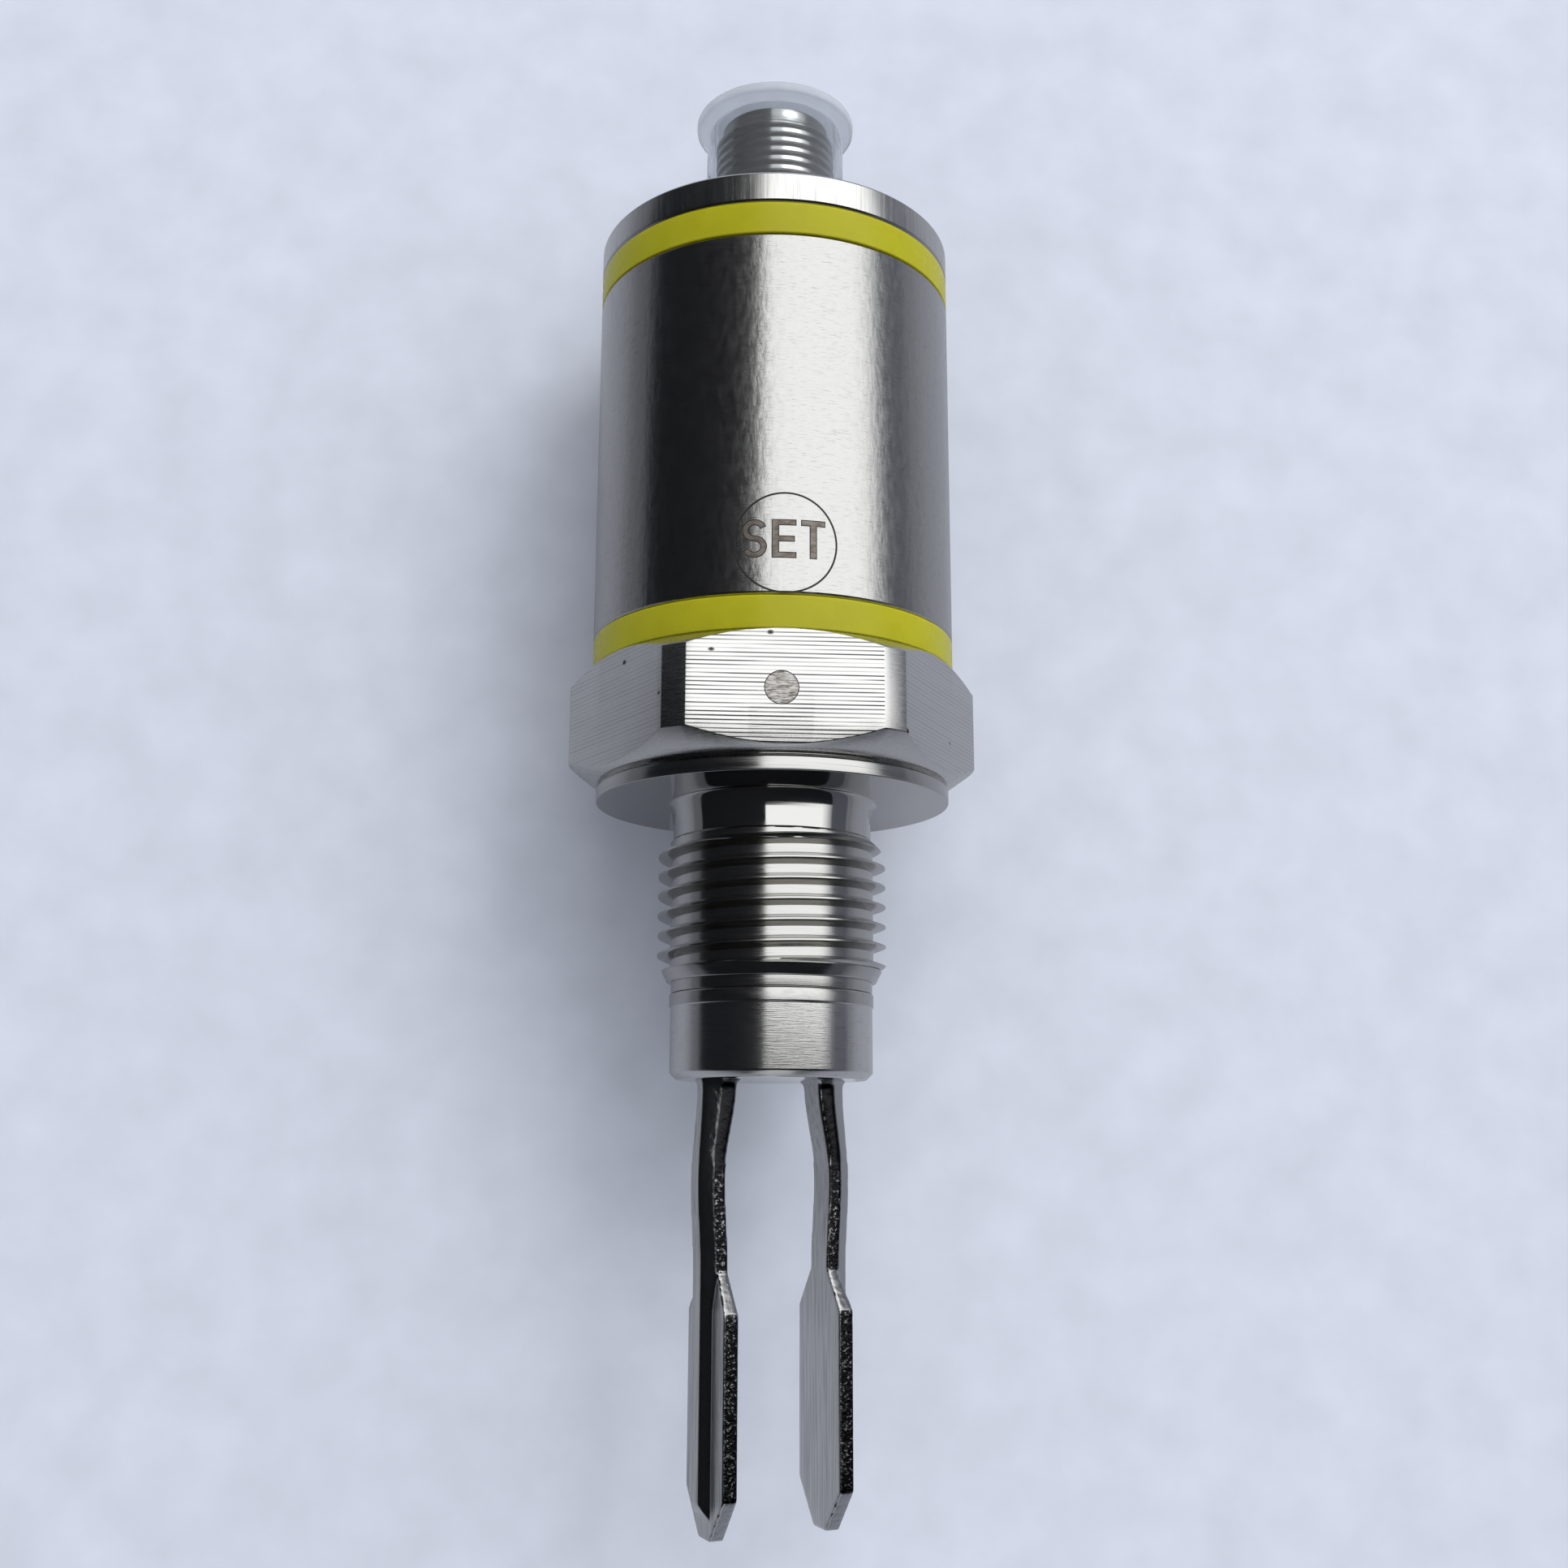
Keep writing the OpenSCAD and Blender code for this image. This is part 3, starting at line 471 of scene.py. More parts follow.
def milled_steel(name, depth):
    """Face-milled flats: long parallel cutter lines, broken in places, and a few pits, with painted shade
    in the lines and pits.
    """
    material, tree, shader, place, row, scuff = surface(
        name, {"Metallic": 1.0}, ((12, 0.3, 12), 2.0, 0.5), ((6, 0.09, 6), 3.0, 0.5))
    y = add(tree, "ShaderNodeSeparateXYZ", {0: place}).outputs["Y"]
    feed = add(tree, "ShaderNodeMath", {0: y, 1: MILL_FEED}, operation="DIVIDE")
    wave = add(tree, "ShaderNodeMath", {0: feed, 1: 0.5}, operation="PINGPONG")
    line = add(tree, "ShaderNodeMapRange", {
        "Value": wave, "From Min": 0.07, "From Max": 0.25, "To Min": depth, "To Max": 0.0})
    cut = add(tree, "ShaderNodeMapRange", {
        "Value": row, "From Min": 0.42, "From Max": 0.62, "To Min": 1.0, "To Max": 0.3})
    mark = add(tree, "ShaderNodeMath", {0: line, 1: cut}, operation="MULTIPLY")
    pit = add(tree, "ShaderNodeTexVoronoi", {
        "Vector": add(tree, "ShaderNodeMapping", {"Vector": place, "Scale": per_mm(4.5, 3, 4.5)}),
        "Scale": 1.0})
    hole = add(tree, "ShaderNodeMapRange", {
        "Value": pit.outputs["Distance"], "From Min": 0.05, "From Max": 0.09,
        "To Min": 1.0, "To Max": 0.0})
    # Painted shade: cutter lines and pits darken the colour towards the painted groove shade
    dark = add(tree, "ShaderNodeMath", {0: mark, 1: hole}, operation="MAXIMUM")
    tint = add(tree, "ShaderNodeMix", {
        0: dark, 6: (*colours().milled, 1), 7: (*colours().painted_groove_shade, 1)}, data_type="RGBA")
    height = add(tree, "ShaderNodeMath", {0: scuff, 1: dark}, operation="SUBTRACT")
    fill(tree, shader, {
        "Base Color": tint.outputs[2],
        "Roughness": add(tree, "ShaderNodeMapRange", {"Value": scuff, "To Min": 0.1, "To Max": 0.24}),
        "Normal": add(tree, "ShaderNodeBump", {
            "Strength": 0.2, "Distance": TOOL_MARK, "Height": height})})
    return material


def ground_steel():
    # Ground nose: clear reflections, frayed by short fine scratches around the axis that carry painted
    # shade.
    return tooled_steel("Cylinder-ground stainless steel", (1.6, 0.08, 1.6), (0.13, 0.22), 0.25,
                        marks=0.35, bright=True, anisotropic=0.25)


def satin_steel():
    # Chamfers: satin, with short fine scratches around the axis that carry painted shade.
    return tooled_steel("Satin-turned stainless steel", (1.6, 0.08, 1.6), (0.2, 0.32), 0.15,
                        marks=0.15, bright=True, anisotropic=0.25)


def weld_steel():
    # Laser-welded seam: a low, finely rippled band, a little darker than the steel beside it, with
    # painted shade in its ripples.
    return tooled_steel("Laser-welded seam", (2.0, 0.5, 2.0), (0.16, 0.26), 0.3, marks=0.15)


def cast_steel():
    """Investment-cast tines: smooth flanks, faces ground along Y, and raw grainy edges painted near black
    as a painted dark reflection, with bare grains that glint.
    """
    material, tree, shader, _, grain, lines = surface(
        "Investment-cast stainless steel", {"Metallic": 1.0},
        ((0.3, 0.3, 0.3), 5.0, 0.65), ((0.14, 7, 0.14), 3.0, 0.5))
    ground, raw, grained = [add(tree, "ShaderNodeAttribute", attribute_name=name).outputs["Fac"]
                            for name in ("ground", "raw", "grained")]
    smooth = add(tree, "ShaderNodeMix", {
        0: ground, 6: (*colours().cast, 1), 7: (*colours().milled, 1)}, data_type="RGBA")
    # Painted dark reflection: the raw edges are painted near black, and below the roots bare grains are
    # left that glint
    painted_dark_cover = add(tree, "ShaderNodeMapRange", {
        "Value": grain, "From Min": 0.55, "From Max": 0.63, "To Min": 0.98,
        "To Max": add(tree, "ShaderNodeMapRange", {"Value": grained, "To Min": 0.98, "To Max": 0.0})})
    shading = add(tree, "ShaderNodeMath", {0: painted_dark_cover, 1: raw}, operation="MULTIPLY")
    # Painted shade: the score lines on the ground faces darken towards the painted groove shade
    scores = add(tree, "ShaderNodeMapRange", {
        "Value": lines, "From Min": 0.35, "From Max": 0.55, "To Min": 0.4, "To Max": 0.0})
    scored = add(tree, "ShaderNodeMath", {0: scores, 1: ground}, operation="MULTIPLY")
    bare = add(tree, "ShaderNodeMix", {
        0: scored, 6: smooth.outputs[2], 7: (*colours().painted_groove_shade, 1)}, data_type="RGBA")
    tone = add(tree, "ShaderNodeMix", {
        0: shading, 6: bare.outputs[2], 7: (*colours().painted_dark_edge, 1)}, data_type="RGBA")
    polish = add(tree, "ShaderNodeMapRange", {"Value": ground, "To Min": 0.12, "To Max": 0.34})
    relief = add(tree, "ShaderNodeMapRange", {"Value": grained, "To Min": 0.25, "To Max": 0.6})
    height = add(tree, "ShaderNodeMix", {0: ground, 2: grain, 3: lines}, data_type="FLOAT")
    fill(tree, shader, {
        "Base Color": tone.outputs[2],
        "Roughness": polish,
        "Normal": add(tree, "ShaderNodeBump", {
            "Strength": relief, "Distance": CAST_MARK, "Height": height})})
    return material


def etched_steel(name, grain, bare):
    """Laser-etched area: matt brown-grey oxide; bare gives how far the steel's own lines show through."""
    material, tree, shader, _, mottle = surface(name, {"Metallic": 0.7}, (grain, 5.0, 0.7))
    tone = add(tree, "ShaderNodeMix", {
        0: add(tree, "ShaderNodeMapRange", {
            "Value": mottle, "From Min": 0.4, "From Max": 0.58, "To Min": 0.0, "To Max": bare}),
        6: (*colours().etch, 1), 7: (*colours().milled, 1)}, data_type="RGBA")
    fill(tree, shader, {
        "Base Color": tone.outputs[2],
        "Roughness": add(tree, "ShaderNodeMapRange", {"Value": mottle, "To Min": 0.62, "To Max": 0.3}),
        "Normal": add(tree, "ShaderNodeBump", {
            "Strength": 0.3, "Distance": TOOL_MARK, "Height": mottle})})
    return material


def plain_finish(name, tone, grain, rough, inputs, bump=0.1, shade=0.8):
    """A moulded, fired or coated finish: grain in millimetres varies its colour, gloss and surface.

    The colour varies between the tone and its share that shade gives.
    """
    material, tree, shader, _, cloud = surface(name, inputs, ((grain, grain, grain), 4.0, 0.5))
    shaded = tuple(shade * channel for channel in tone)
    tint = add(tree, "ShaderNodeMix", {0: cloud, 6: (*shaded, 1), 7: (*tone, 1)}, data_type="RGBA")
    fill(tree, shader, {
        "Base Color": tint.outputs[2],
        "Roughness": add(tree, "ShaderNodeMapRange", {
            "Value": cloud, "To Min": rough[0], "To Max": rough[1]}),
        "Normal": add(tree, "ShaderNodeBump", {
            "Strength": bump, "Distance": TOOL_MARK, "Height": cloud})})
    return material


def burnt_edge():
    # Outline left by the etching laser: a burnt, matt brown-black line.
    return plain_finish("Burnt etching edge", colours().etch_edge, 0.3, (0.5, 0.7), {"Metallic": 0.3})


def tinted_plastic():
    # Tinted polyamide: glossy, with light that sinks in and softens the colour.
    return plain_finish("Tinted polyamide", colours().yellow, 3.0, (0.22, 0.32), {
        "IOR": 1.53, "Specular IOR Level": 0.15, "Subsurface Weight": 0.5,
        "Subsurface Radius": (1.0, 0.9, 0.2), "Subsurface Scale": 1.2 * MM}, 0.03)


def milky_plastic(name, clear):
    # Low-density polyethylene: a white haze, through which the thread shows where the wall is thin.
    return plain_finish(name, colours().milky, 2.0, (0.03, 0.06), {
        "IOR": 1.06, "Transmission Weight": clear}, 0.02)


def plated_brass():
    # Plated brass of electrodes and contacts: smooth and warm.
    return plain_finish("Plated brass", colours().brass, 0.6, (0.18, 0.3), {"Metallic": 1.0})


def inner_finishes():
    """Finishes of the pieces inside, by material slot."""
    tone = colours()
    moulded = {
        # Moulded glass-filled polyamide: matt black with a fine spark-eroded texture.
        "black_plastic": ("Glass-filled polyamide", tone.black, 0.25, (0.4, 0.6), 1.53),
        # Nitrile rubber: smooth, soft sheen.
        "seal_rubber": ("Nitrile rubber", tone.rubber, 0.6, (0.35, 0.5), 1.52),
        # Extruded wire insulation: smooth and slightly glossy.
        "wire_insulation": ("Extruded insulation", tone.rubber, 0.8, (0.25, 0.4), 1.5),
        # Glass laminate under green solder mask: glossy with a faint weave.
        "board_laminate": ("Solder-masked laminate", tone.board, 0.5, (0.2, 0.35), 1.5),
        # Cast clear resin of the lamps: smooth and glossy.
        "lamp_body": ("Cast lamp resin", tone.lamp, 0.4, (0.1, 0.2), 1.52),
        # Ground alumina: white and faintly granular.
        "alumina": ("Ground alumina", tone.alumina, 0.2, (0.4, 0.55), 1.76),
        # Fired piezo ceramic: matt grey-brown.
        "piezo_ceramic": ("Fired piezo ceramic", tone.piezo, 0.3, (0.5, 0.65), 1.6),
    }
    finishes = {slot: plain_finish(name, shown, grain, rough, {"IOR": index})
                for slot, (name, shown, grain, rough, index) in moulded.items()}
    finishes["brass_contacts"] = plated_brass()
    # Turned steel of washer and nut: even rings with a dull shine.
    finishes["turned_steel"] = tooled_steel(
        "Turned stainless steel inside", (20, 0.2, 20), (0.2, 0.35), 0.3)
    return finishes


# Meshes

def ring_of(bm, radius, y, angles):
    """A ring of points about the tool axis, starting at +Z."""
    return [bm.verts.new((radius * math.sin(a), y, radius * math.cos(a))) for a in angles]


def bridge(bm, rings, closed):
    """Joins neighbouring rings of vertices with quads."""
    last = len(rings) if closed else len(rings) - 1
    for i in range(last):
        lower, upper = rings[i], rings[(i + 1) % len(rings)]
        for k in range(len(lower)):
            n = (k + 1) % len(lower)
            bm.faces.new((lower[k], upper[k], upper[n], lower[n]))


def even_angles(count):
    """Evenly spaced angles of a full turn."""
    return [FULL_TURN * k / count for k in range(count)]


def lathe(bm, path, closed=True, sides=SIDES):
    """Turns a path of (radius, y) points about the tool axis."""
    angles = even_angles(sides)
    bridge(bm, [ring_of(bm, r, y, angles) for r, y in path], closed)


def loft(bm, sections):
    """A closed body through sections of equal point count, given in metres and built in millimetres."""
    rows = [[bm.verts.new(Vector(point) / MM) for point in section] for section in sections]
    bridge(bm, rows, False)
    bm.faces.new(rows[0])
    bm.faces.new(rows[-1])
    bmesh.ops.recalc_face_normals(bm, faces=bm.faces)


def rounded(path, radius, closed=True):
    """Replaces each corner of a path with a small arc."""
    out = []
    for i, point in enumerate(path):
        corner = Vector(point)
        if corner.x == 0 or (not closed and i in (0, len(path) - 1)):
            out.append(corner)
            continue
        before = Vector(path[i - 1]) - corner
        after = Vector(path[(i + 1) % len(path)]) - corner
        cut = min(radius, CORNER_SHARE * before.length, CORNER_SHARE * after.length)
        first = corner + before.normalized() * cut
        last = corner + after.normalized() * cut
        for step in range(CORNER_STEPS + 1):
            s = step / CORNER_STEPS
            out.append(first * (1 - s) ** 2 + corner * 2 * s * (1 - s) + last * s ** 2)
    return out


def baked(blank):
    """Applies an object's modifiers, removes it and gives the plain mesh."""
    mesh = bpy.data.meshes.new_from_object(blank.evaluated_get(bpy.context.evaluated_depsgraph_get()))
    blank.modifiers.clear()
    bpy.data.objects.remove(blank)
    return mesh


def new_object(name, bm=None, materials=()):
    """An object in the scene that takes over the given mesh and materials."""
    mesh = bpy.data.meshes.new(name)
    if bm:
        bm.to_mesh(mesh)
        bm.free()
    for material in materials:
        mesh.materials.append(material)
    made = bpy.data.objects.new(name, mesh)
    bpy.context.scene.collection.objects.link(made)
    return made


def grown(tree, values):
    """Runs a node tree with the given input values and gives its mesh."""
    blank = new_object(tree.name)
    modifier = blank.modifiers.new("Tree", "NODES")
    modifier.node_group = tree
    for item in tree.interface.items_tree:
        if item.in_out == "INPUT":
            modifier[item.identifier] = values[item.name]
    return baked(blank)


def finished(name, bm, materials, nodes=(), body="sensor", paint=None):
    """Makes a finished piece of a mesh: paint gives a face's material from its middle and normal."""
    bmesh.ops.remove_doubles(bm, verts=bm.verts, dist=WELD)
    bmesh.ops.recalc_face_normals(bm, faces=bm.faces)
    for face in bm.faces:
        face.smooth = True
        if paint:
            face.material_index = paint(face.calc_center_median(), face.normal)
    for edge in bm.edges:
        finishes = {face.material_index for face in edge.link_faces}
        edge.smooth = len(finishes) == 1 and edge.calc_face_angle(0.0) < SHARP_ANGLE
    piece = new_object(name, bm, materials)
    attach(piece, body)
    if nodes:
        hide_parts(*nodes)
    return piece


def tree_inputs(tree, floats, integers):
    """Gives a node tree its named inputs and its mesh output."""
    for kind, names in (("Float", floats), ("Int", integers), ("Material", ["Material"])):
        for name in names:
            tree.interface.new_socket(name, in_out="INPUT", socket_type="NodeSocket" + kind)
    tree.interface.new_socket("Mesh", in_out="OUTPUT", socket_type="NodeSocketGeometry")
    return add(tree, "NodeGroupInput").outputs


def tree_end(tree, shape, material):
    """Ends a node tree with real geometry that carries its material."""
    real = add(tree, "GeometryNodeRealizeInstances", {"Geometry": shape})
    add(tree, "NodeGroupOutput", {
        "Mesh": add(tree, "GeometryNodeSetMaterial", {"Geometry": real, "Material": material})})


def thread_tree():
    """Helical thread: a sheet whose rows climb one pitch a turn, rolled round the axis.

    Its ends are cut square and fall at 45 degrees to the start and end radius.
    """
    tree = bpy.data.node_groups.new("Helical thread", "GeometryNodeTree")
    given = tree_inputs(tree, ["Crest Radius", "Root Radius", "Pitch", "Start", "End", "Start Radius",
                               "End Radius", "Root Flat", "Crest Flat"], ["Sides", "Steps per Turn"])
    flat = add(tree, "ShaderNodeSeparateXYZ", {0: add(tree, "GeometryNodeInputPosition")}).outputs
    known = {socket.name: socket for socket in (*given, *flat)}
    for name, operation, *terms in (
            # Rows of the sheet, which starts far enough below to be full at the cut
            ("step", "DIVIDE", "Pitch", "Steps per Turn"),
            ("cut length", "SUBTRACT", "End", "Start"),
            ("full length", "ADD", "cut length", "Pitch"),
            ("steps", "DIVIDE", "full length", "step"),
            ("rows", "CEIL", "steps"),
            ("drop", "MULTIPLY", "rows", "step"),
            ("low", "SUBTRACT", "End", "drop"),
            ("points up", "ADD", "rows", 1.0),
            ("points round", "ADD", "Sides", 1.0),
            # Height of a point: its row, and its climb along the turn, cut at both ends
            ("turn", "ADD", "X", 0.5),
            ("up", "ADD", "Y", 0.5),
            ("row", "MULTIPLY_ADD", "up", "drop", "low"),
            ("climb", "MULTIPLY_ADD", "turn", "Pitch", "row"),
            ("over start", "MAXIMUM", "climb", "Start"),
            ("height", "MINIMUM", "over start", "End"),
            # Radius of a point: flat root, flank and flat crest, within the slopes at both ends
            ("pitches", "DIVIDE", "row", "Pitch"),
            ("wave", "PINGPONG", "pitches", 0.5),
            ("root edge", "MULTIPLY", "Root Flat", 0.5),
            ("crest edge", "MULTIPLY_ADD", "Crest Flat", -0.5, 0.5),
            ("flank width", "SUBTRACT", "crest edge", "root edge"),
            ("on flank", "SUBTRACT", "wave", "root edge"),
            ("share", "DIVIDE", "on flank", "flank width"),
            ("over root", "MAXIMUM", "share", 0.0),
            ("under crest", "MINIMUM", "over root", 1.0),
            ("depth", "SUBTRACT", "Crest Radius", "Root Radius"),
            ("ridge", "MULTIPLY_ADD", "under crest", "depth", "Root Radius"),
            ("from start", "SUBTRACT", "height", "Start"),
            ("to end", "SUBTRACT", "End", "height"),
            ("foot", "ADD", "from start", "Start Radius"),
            ("head", "ADD", "to end", "End Radius"),
            ("slope", "MINIMUM", "foot", "head"),
            ("radius", "MINIMUM", "ridge", "slope"),
            # Place of a point on its turn
            ("angle", "MULTIPLY", "turn", FULL_TURN),
            ("sine", "SINE", "angle"),
            ("cosine", "COSINE", "angle"),
            ("across", "MULTIPLY", "radius", "sine"),
            ("over", "MULTIPLY", "radius", "cosine")):
        inputs = {i: known.get(term, term) for i, term in enumerate(terms)}
        known[name] = add(tree, "ShaderNodeMath", inputs, operation=operation)
    sheet = add(tree, "GeometryNodeMeshGrid", {
        "Size X": 1.0, "Size Y": 1.0,
        "Vertices X": known["points round"], "Vertices Y": known["points up"]})
    rolled = add(tree, "GeometryNodeSetPosition", {
        "Geometry": sheet,
        "Position": add(tree, "ShaderNodeCombineXYZ", {
            "X": known["across"], "Y": known["height"], "Z": known["over"]})})
    merged = add(tree, "GeometryNodeMergeByDistance", {"Geometry": rolled, "Distance": WELD})
    tree_end(tree, merged, given["Material"])
    return tree


def pins_tree():
    """Contact pins: round-nosed rods on a circle about the tool axis."""
    tree = bpy.data.node_groups.new("Contact pins", "GeometryNodeTree")
    given = tree_inputs(tree, ["Circle Radius", "Pin Radius", "Start", "End", "Turn"], ["Count"])
    nose = add(tree, "ShaderNodeMath", {0: given["End"], 1: given["Pin Radius"]}, operation="SUBTRACT")
    sheet = add(tree, "GeometryNodeMeshUVSphere", {
        "Segments": PIN_SIDES, "Rings": PIN_SIDES // 2, "Radius": given["Pin Radius"]})
    upright = add(tree, "GeometryNodeTransform", {
        "Geometry": sheet, "Rotation": (-math.pi / 2, 0.0, 0.0)})
    flat = add(tree, "ShaderNodeSeparateXYZ", {0: add(tree, "GeometryNodeInputPosition")}).outputs
    upper = add(tree, "ShaderNodeMath", {0: flat["Y"], 1: nose}, operation="ADD")
    lower = add(tree, "ShaderNodeMath", {0: flat["Y"], 1: WELD}, operation="LESS_THAN")
    y = add(tree, "ShaderNodeMix", {0: lower, 2: upper, 3: given["Start"]}, data_type="FLOAT")
    rod = add(tree, "GeometryNodeSetPosition", {
        "Geometry": upright,
        "Position": add(tree, "ShaderNodeCombineXYZ", {"X": flat["X"], "Y": y, "Z": flat["Z"]})})
    ring = add(tree, "GeometryNodeMeshCircle", {
        "Vertices": given["Count"], "Radius": given["Circle Radius"]})
    standing = add(tree, "GeometryNodeTransform", {
        "Geometry": ring,
        "Rotation": add(tree, "ShaderNodeCombineXYZ", {"X": math.pi / 2, "Y": given["Turn"]})})
    pins = add(tree, "GeometryNodeInstanceOnPoints", {"Points": standing, "Instance": rod})
    tree_end(tree, pins, given["Material"])
    return tree


# Pieces

def marked_flat(size):
    """Distance of the hexagon's flats from the tool axis, under the film of the dot."""
    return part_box("process_fitting")[1].z - size.mark_proud


def groove(size, seal):
    """Path through the groove of a seal, from its lower to its upper edge."""
    middle = sum(span(seal)) / 2
    low, high = middle - size.seal_room, middle + size.seal_room
    return [(size.spigot, low), (size.seal_floor, low), (size.seal_floor, high), (size.spigot, high)]


def hexagon(bm, size):
    """Hexagon with turned corners and chamfers at both ends, and the spigot behind it."""
    flat_radius = marked_flat(size)
    corner_radius = reach("process_fitting")
    top = span("lower_light_ring")[0]
    head = reach("lower_light_ring")
    rise = math.tan(size.hex_chamfer)
    sector = FULL_TURN / HEX_FLATS
    half_flat = sector / 2 - size.hex_turned
    flat_steps = SIDES // HEX_FLATS - STRIP_STEPS
    angles = []
    for i in range(HEX_FLATS):
        middle = i * sector
        angles += [middle - half_flat + 2 * half_flat * k / flat_steps for k in range(flat_steps)]
        angles += [middle + half_flat + 2 * size.hex_turned * k / STRIP_STEPS for k in range(STRIP_STEPS)]
    edge = []
    for a in angles:
        off = abs((a + sector / 2) % sector - sector / 2)
        edge.append(min(flat_radius / math.cos(off), corner_radius))
    lower = [size.collar_top + rise * max(r - size.collar_radius, 0) for r in edge]
    upper = [top - rise * max(r - head, 0) for r in edge]
    end = span("process_fitting")[1]
    front = [(size.bore, size.seat), (size.bore, size.collar_top), (size.collar_radius, size.collar_top)]
    back = [(head - size.edge_round, top), (size.spigot, top), *groove(size, "lower_o_ring"),
            (size.spigot, end), (size.space, end), (size.space, size.seat)]
    rings = [ring_of(bm, r, y, angles) for r, y in front]
    for heights in (lower, upper):
        rings.append([bm.verts.new((r * math.sin(a), y, r * math.cos(a)))
                      for r, y, a in zip(edge, heights, angles)])
    rings += [ring_of(bm, r, y, angles) for r, y in back]
    bridge(bm, rings, True)


def threaded(values, material):
    """A thread of the given sizes as a mesh whose end rings match the lathe's."""
    tree = bpy.data.node_groups.get("Helical thread") or thread_tree()
    return grown(tree, {"Sides": SIDES, "Material": material, **values})


class LEVEL_SWITCH_OT_fitting(Operator):
    """Builds the process fitting: pipe thread, neck, sealing collar and hexagon"""

    bl_idname = "level_switch.fitting"
    bl_label = "Process Fitting"

    def execute(self, context):
        size = sizes()
        threads = threaded_steel()
        blank = bmesh.new()
        hexagon(blank, size)
        bmesh.ops.recalc_face_normals(blank, faces=blank.faces)
        body = new_object("hexagon", blank)
        bevel = body.modifiers.new("Broken edges", "BEVEL")
        bevel.width = size.edge_round
        bevel.segments = BREAK_STEPS
        bevel.limit_method = "ANGLE"
        bevel.angle_limit = BREAK_ANGLE

        bm = bmesh.new()
        bm.from_mesh(baked(body))
        bm.from_mesh(threaded({
            "Crest Radius": size.thread_crest, "Root Radius": size.thread_root,
            "Pitch": size.thread_pitch, "Start": size.thread_end, "End": size.thread_top,
            "Start Radius": size.nose_radius, "End Radius": size.neck_radius,
            "Root Flat": size.thread_roots, "Crest Flat": size.thread_crests,
            "Steps per Turn": PIPE_STEPS}, threads))
        inset = size.collar_radius - size.groove_depth
        hidden = size.collar_top + size.groove_depth / 2
        quarter = [FULL_TURN / 4 * k / NECK_STEPS for k in range(NECK_STEPS + 1)]
        hollow = [(size.neck_radius + size.neck_fillet * (1 - math.sin(a)),
                   size.neck_blend * (math.cos(a) - 1)) for a in quarter]
        corners = rounded([
            (size.nose_radius, size.thread_end), (size.nose_radius, size.weld), (size.bore, size.weld),
            (size.bore, hidden), (inset, hidden), (inset, size.collar_rim + size.groove_depth / 2),
            (size.collar_radius, size.collar_rim), (size.collar_radius, 0.0),
            *hollow, (size.neck_radius, size.thread_top)], size.edge_round, closed=False)
        lathe(bm, corners, closed=False)
        core = size.nose_radius - size.edge_round
        lathe(bm, rounded([
            (core, size.lead_top), (size.lead_radius, size.lead_top), (size.lead_foot, size.lead_end),
            (core, size.lead_end)], size.edge_round))

        flat_radius = marked_flat(size)
        sector = FULL_TURN / HEX_FLATS
        cut, polished, turned, rough, satin, fine = range(6)

        def paint(middle, normal):
            radius = math.hypot(middle.x, middle.z)
            if middle.y < size.thread_top + size.edge_round:
                return cut
            if middle.y < TOUCH and radius < size.collar_radius - size.edge_round:
                return polished
            if middle.y < size.collar_top:
                return polished if middle.y > size.collar_rim + TOUCH else turned
            turn = math.atan2(middle.x, middle.z) % sector
            flat = radius * math.cos(min(turn, sector - turn))
            if abs(normal.y) > CHAMFER_LEAN or abs(flat - flat_radius) > TOUCH:
                return satin
            return rough if normal.z > MARKED_LEAN else fine

        finished("process_fitting_body", bm,
                 [threads, polished_steel(), turned_steel(),
                  milled_steel("Rough-milled stainless steel", 1.0), satin_steel(),
                  milled_steel("Fine-milled stainless steel", 0.25)],
                 ["process_fitting"], paint=paint)
        return {"FINISHED"}


def ramp(value, low, high):
    """Rises from zero to one while the value runs from low to high."""
    return min(max((value - low) / (high - low), 0.0), 1.0)


def ease(step):
    """Falls smoothly from one to zero while the step runs from zero to one."""
    return (1 + math.cos(math.pi * ramp(step, 0.0, 1.0))) / 2


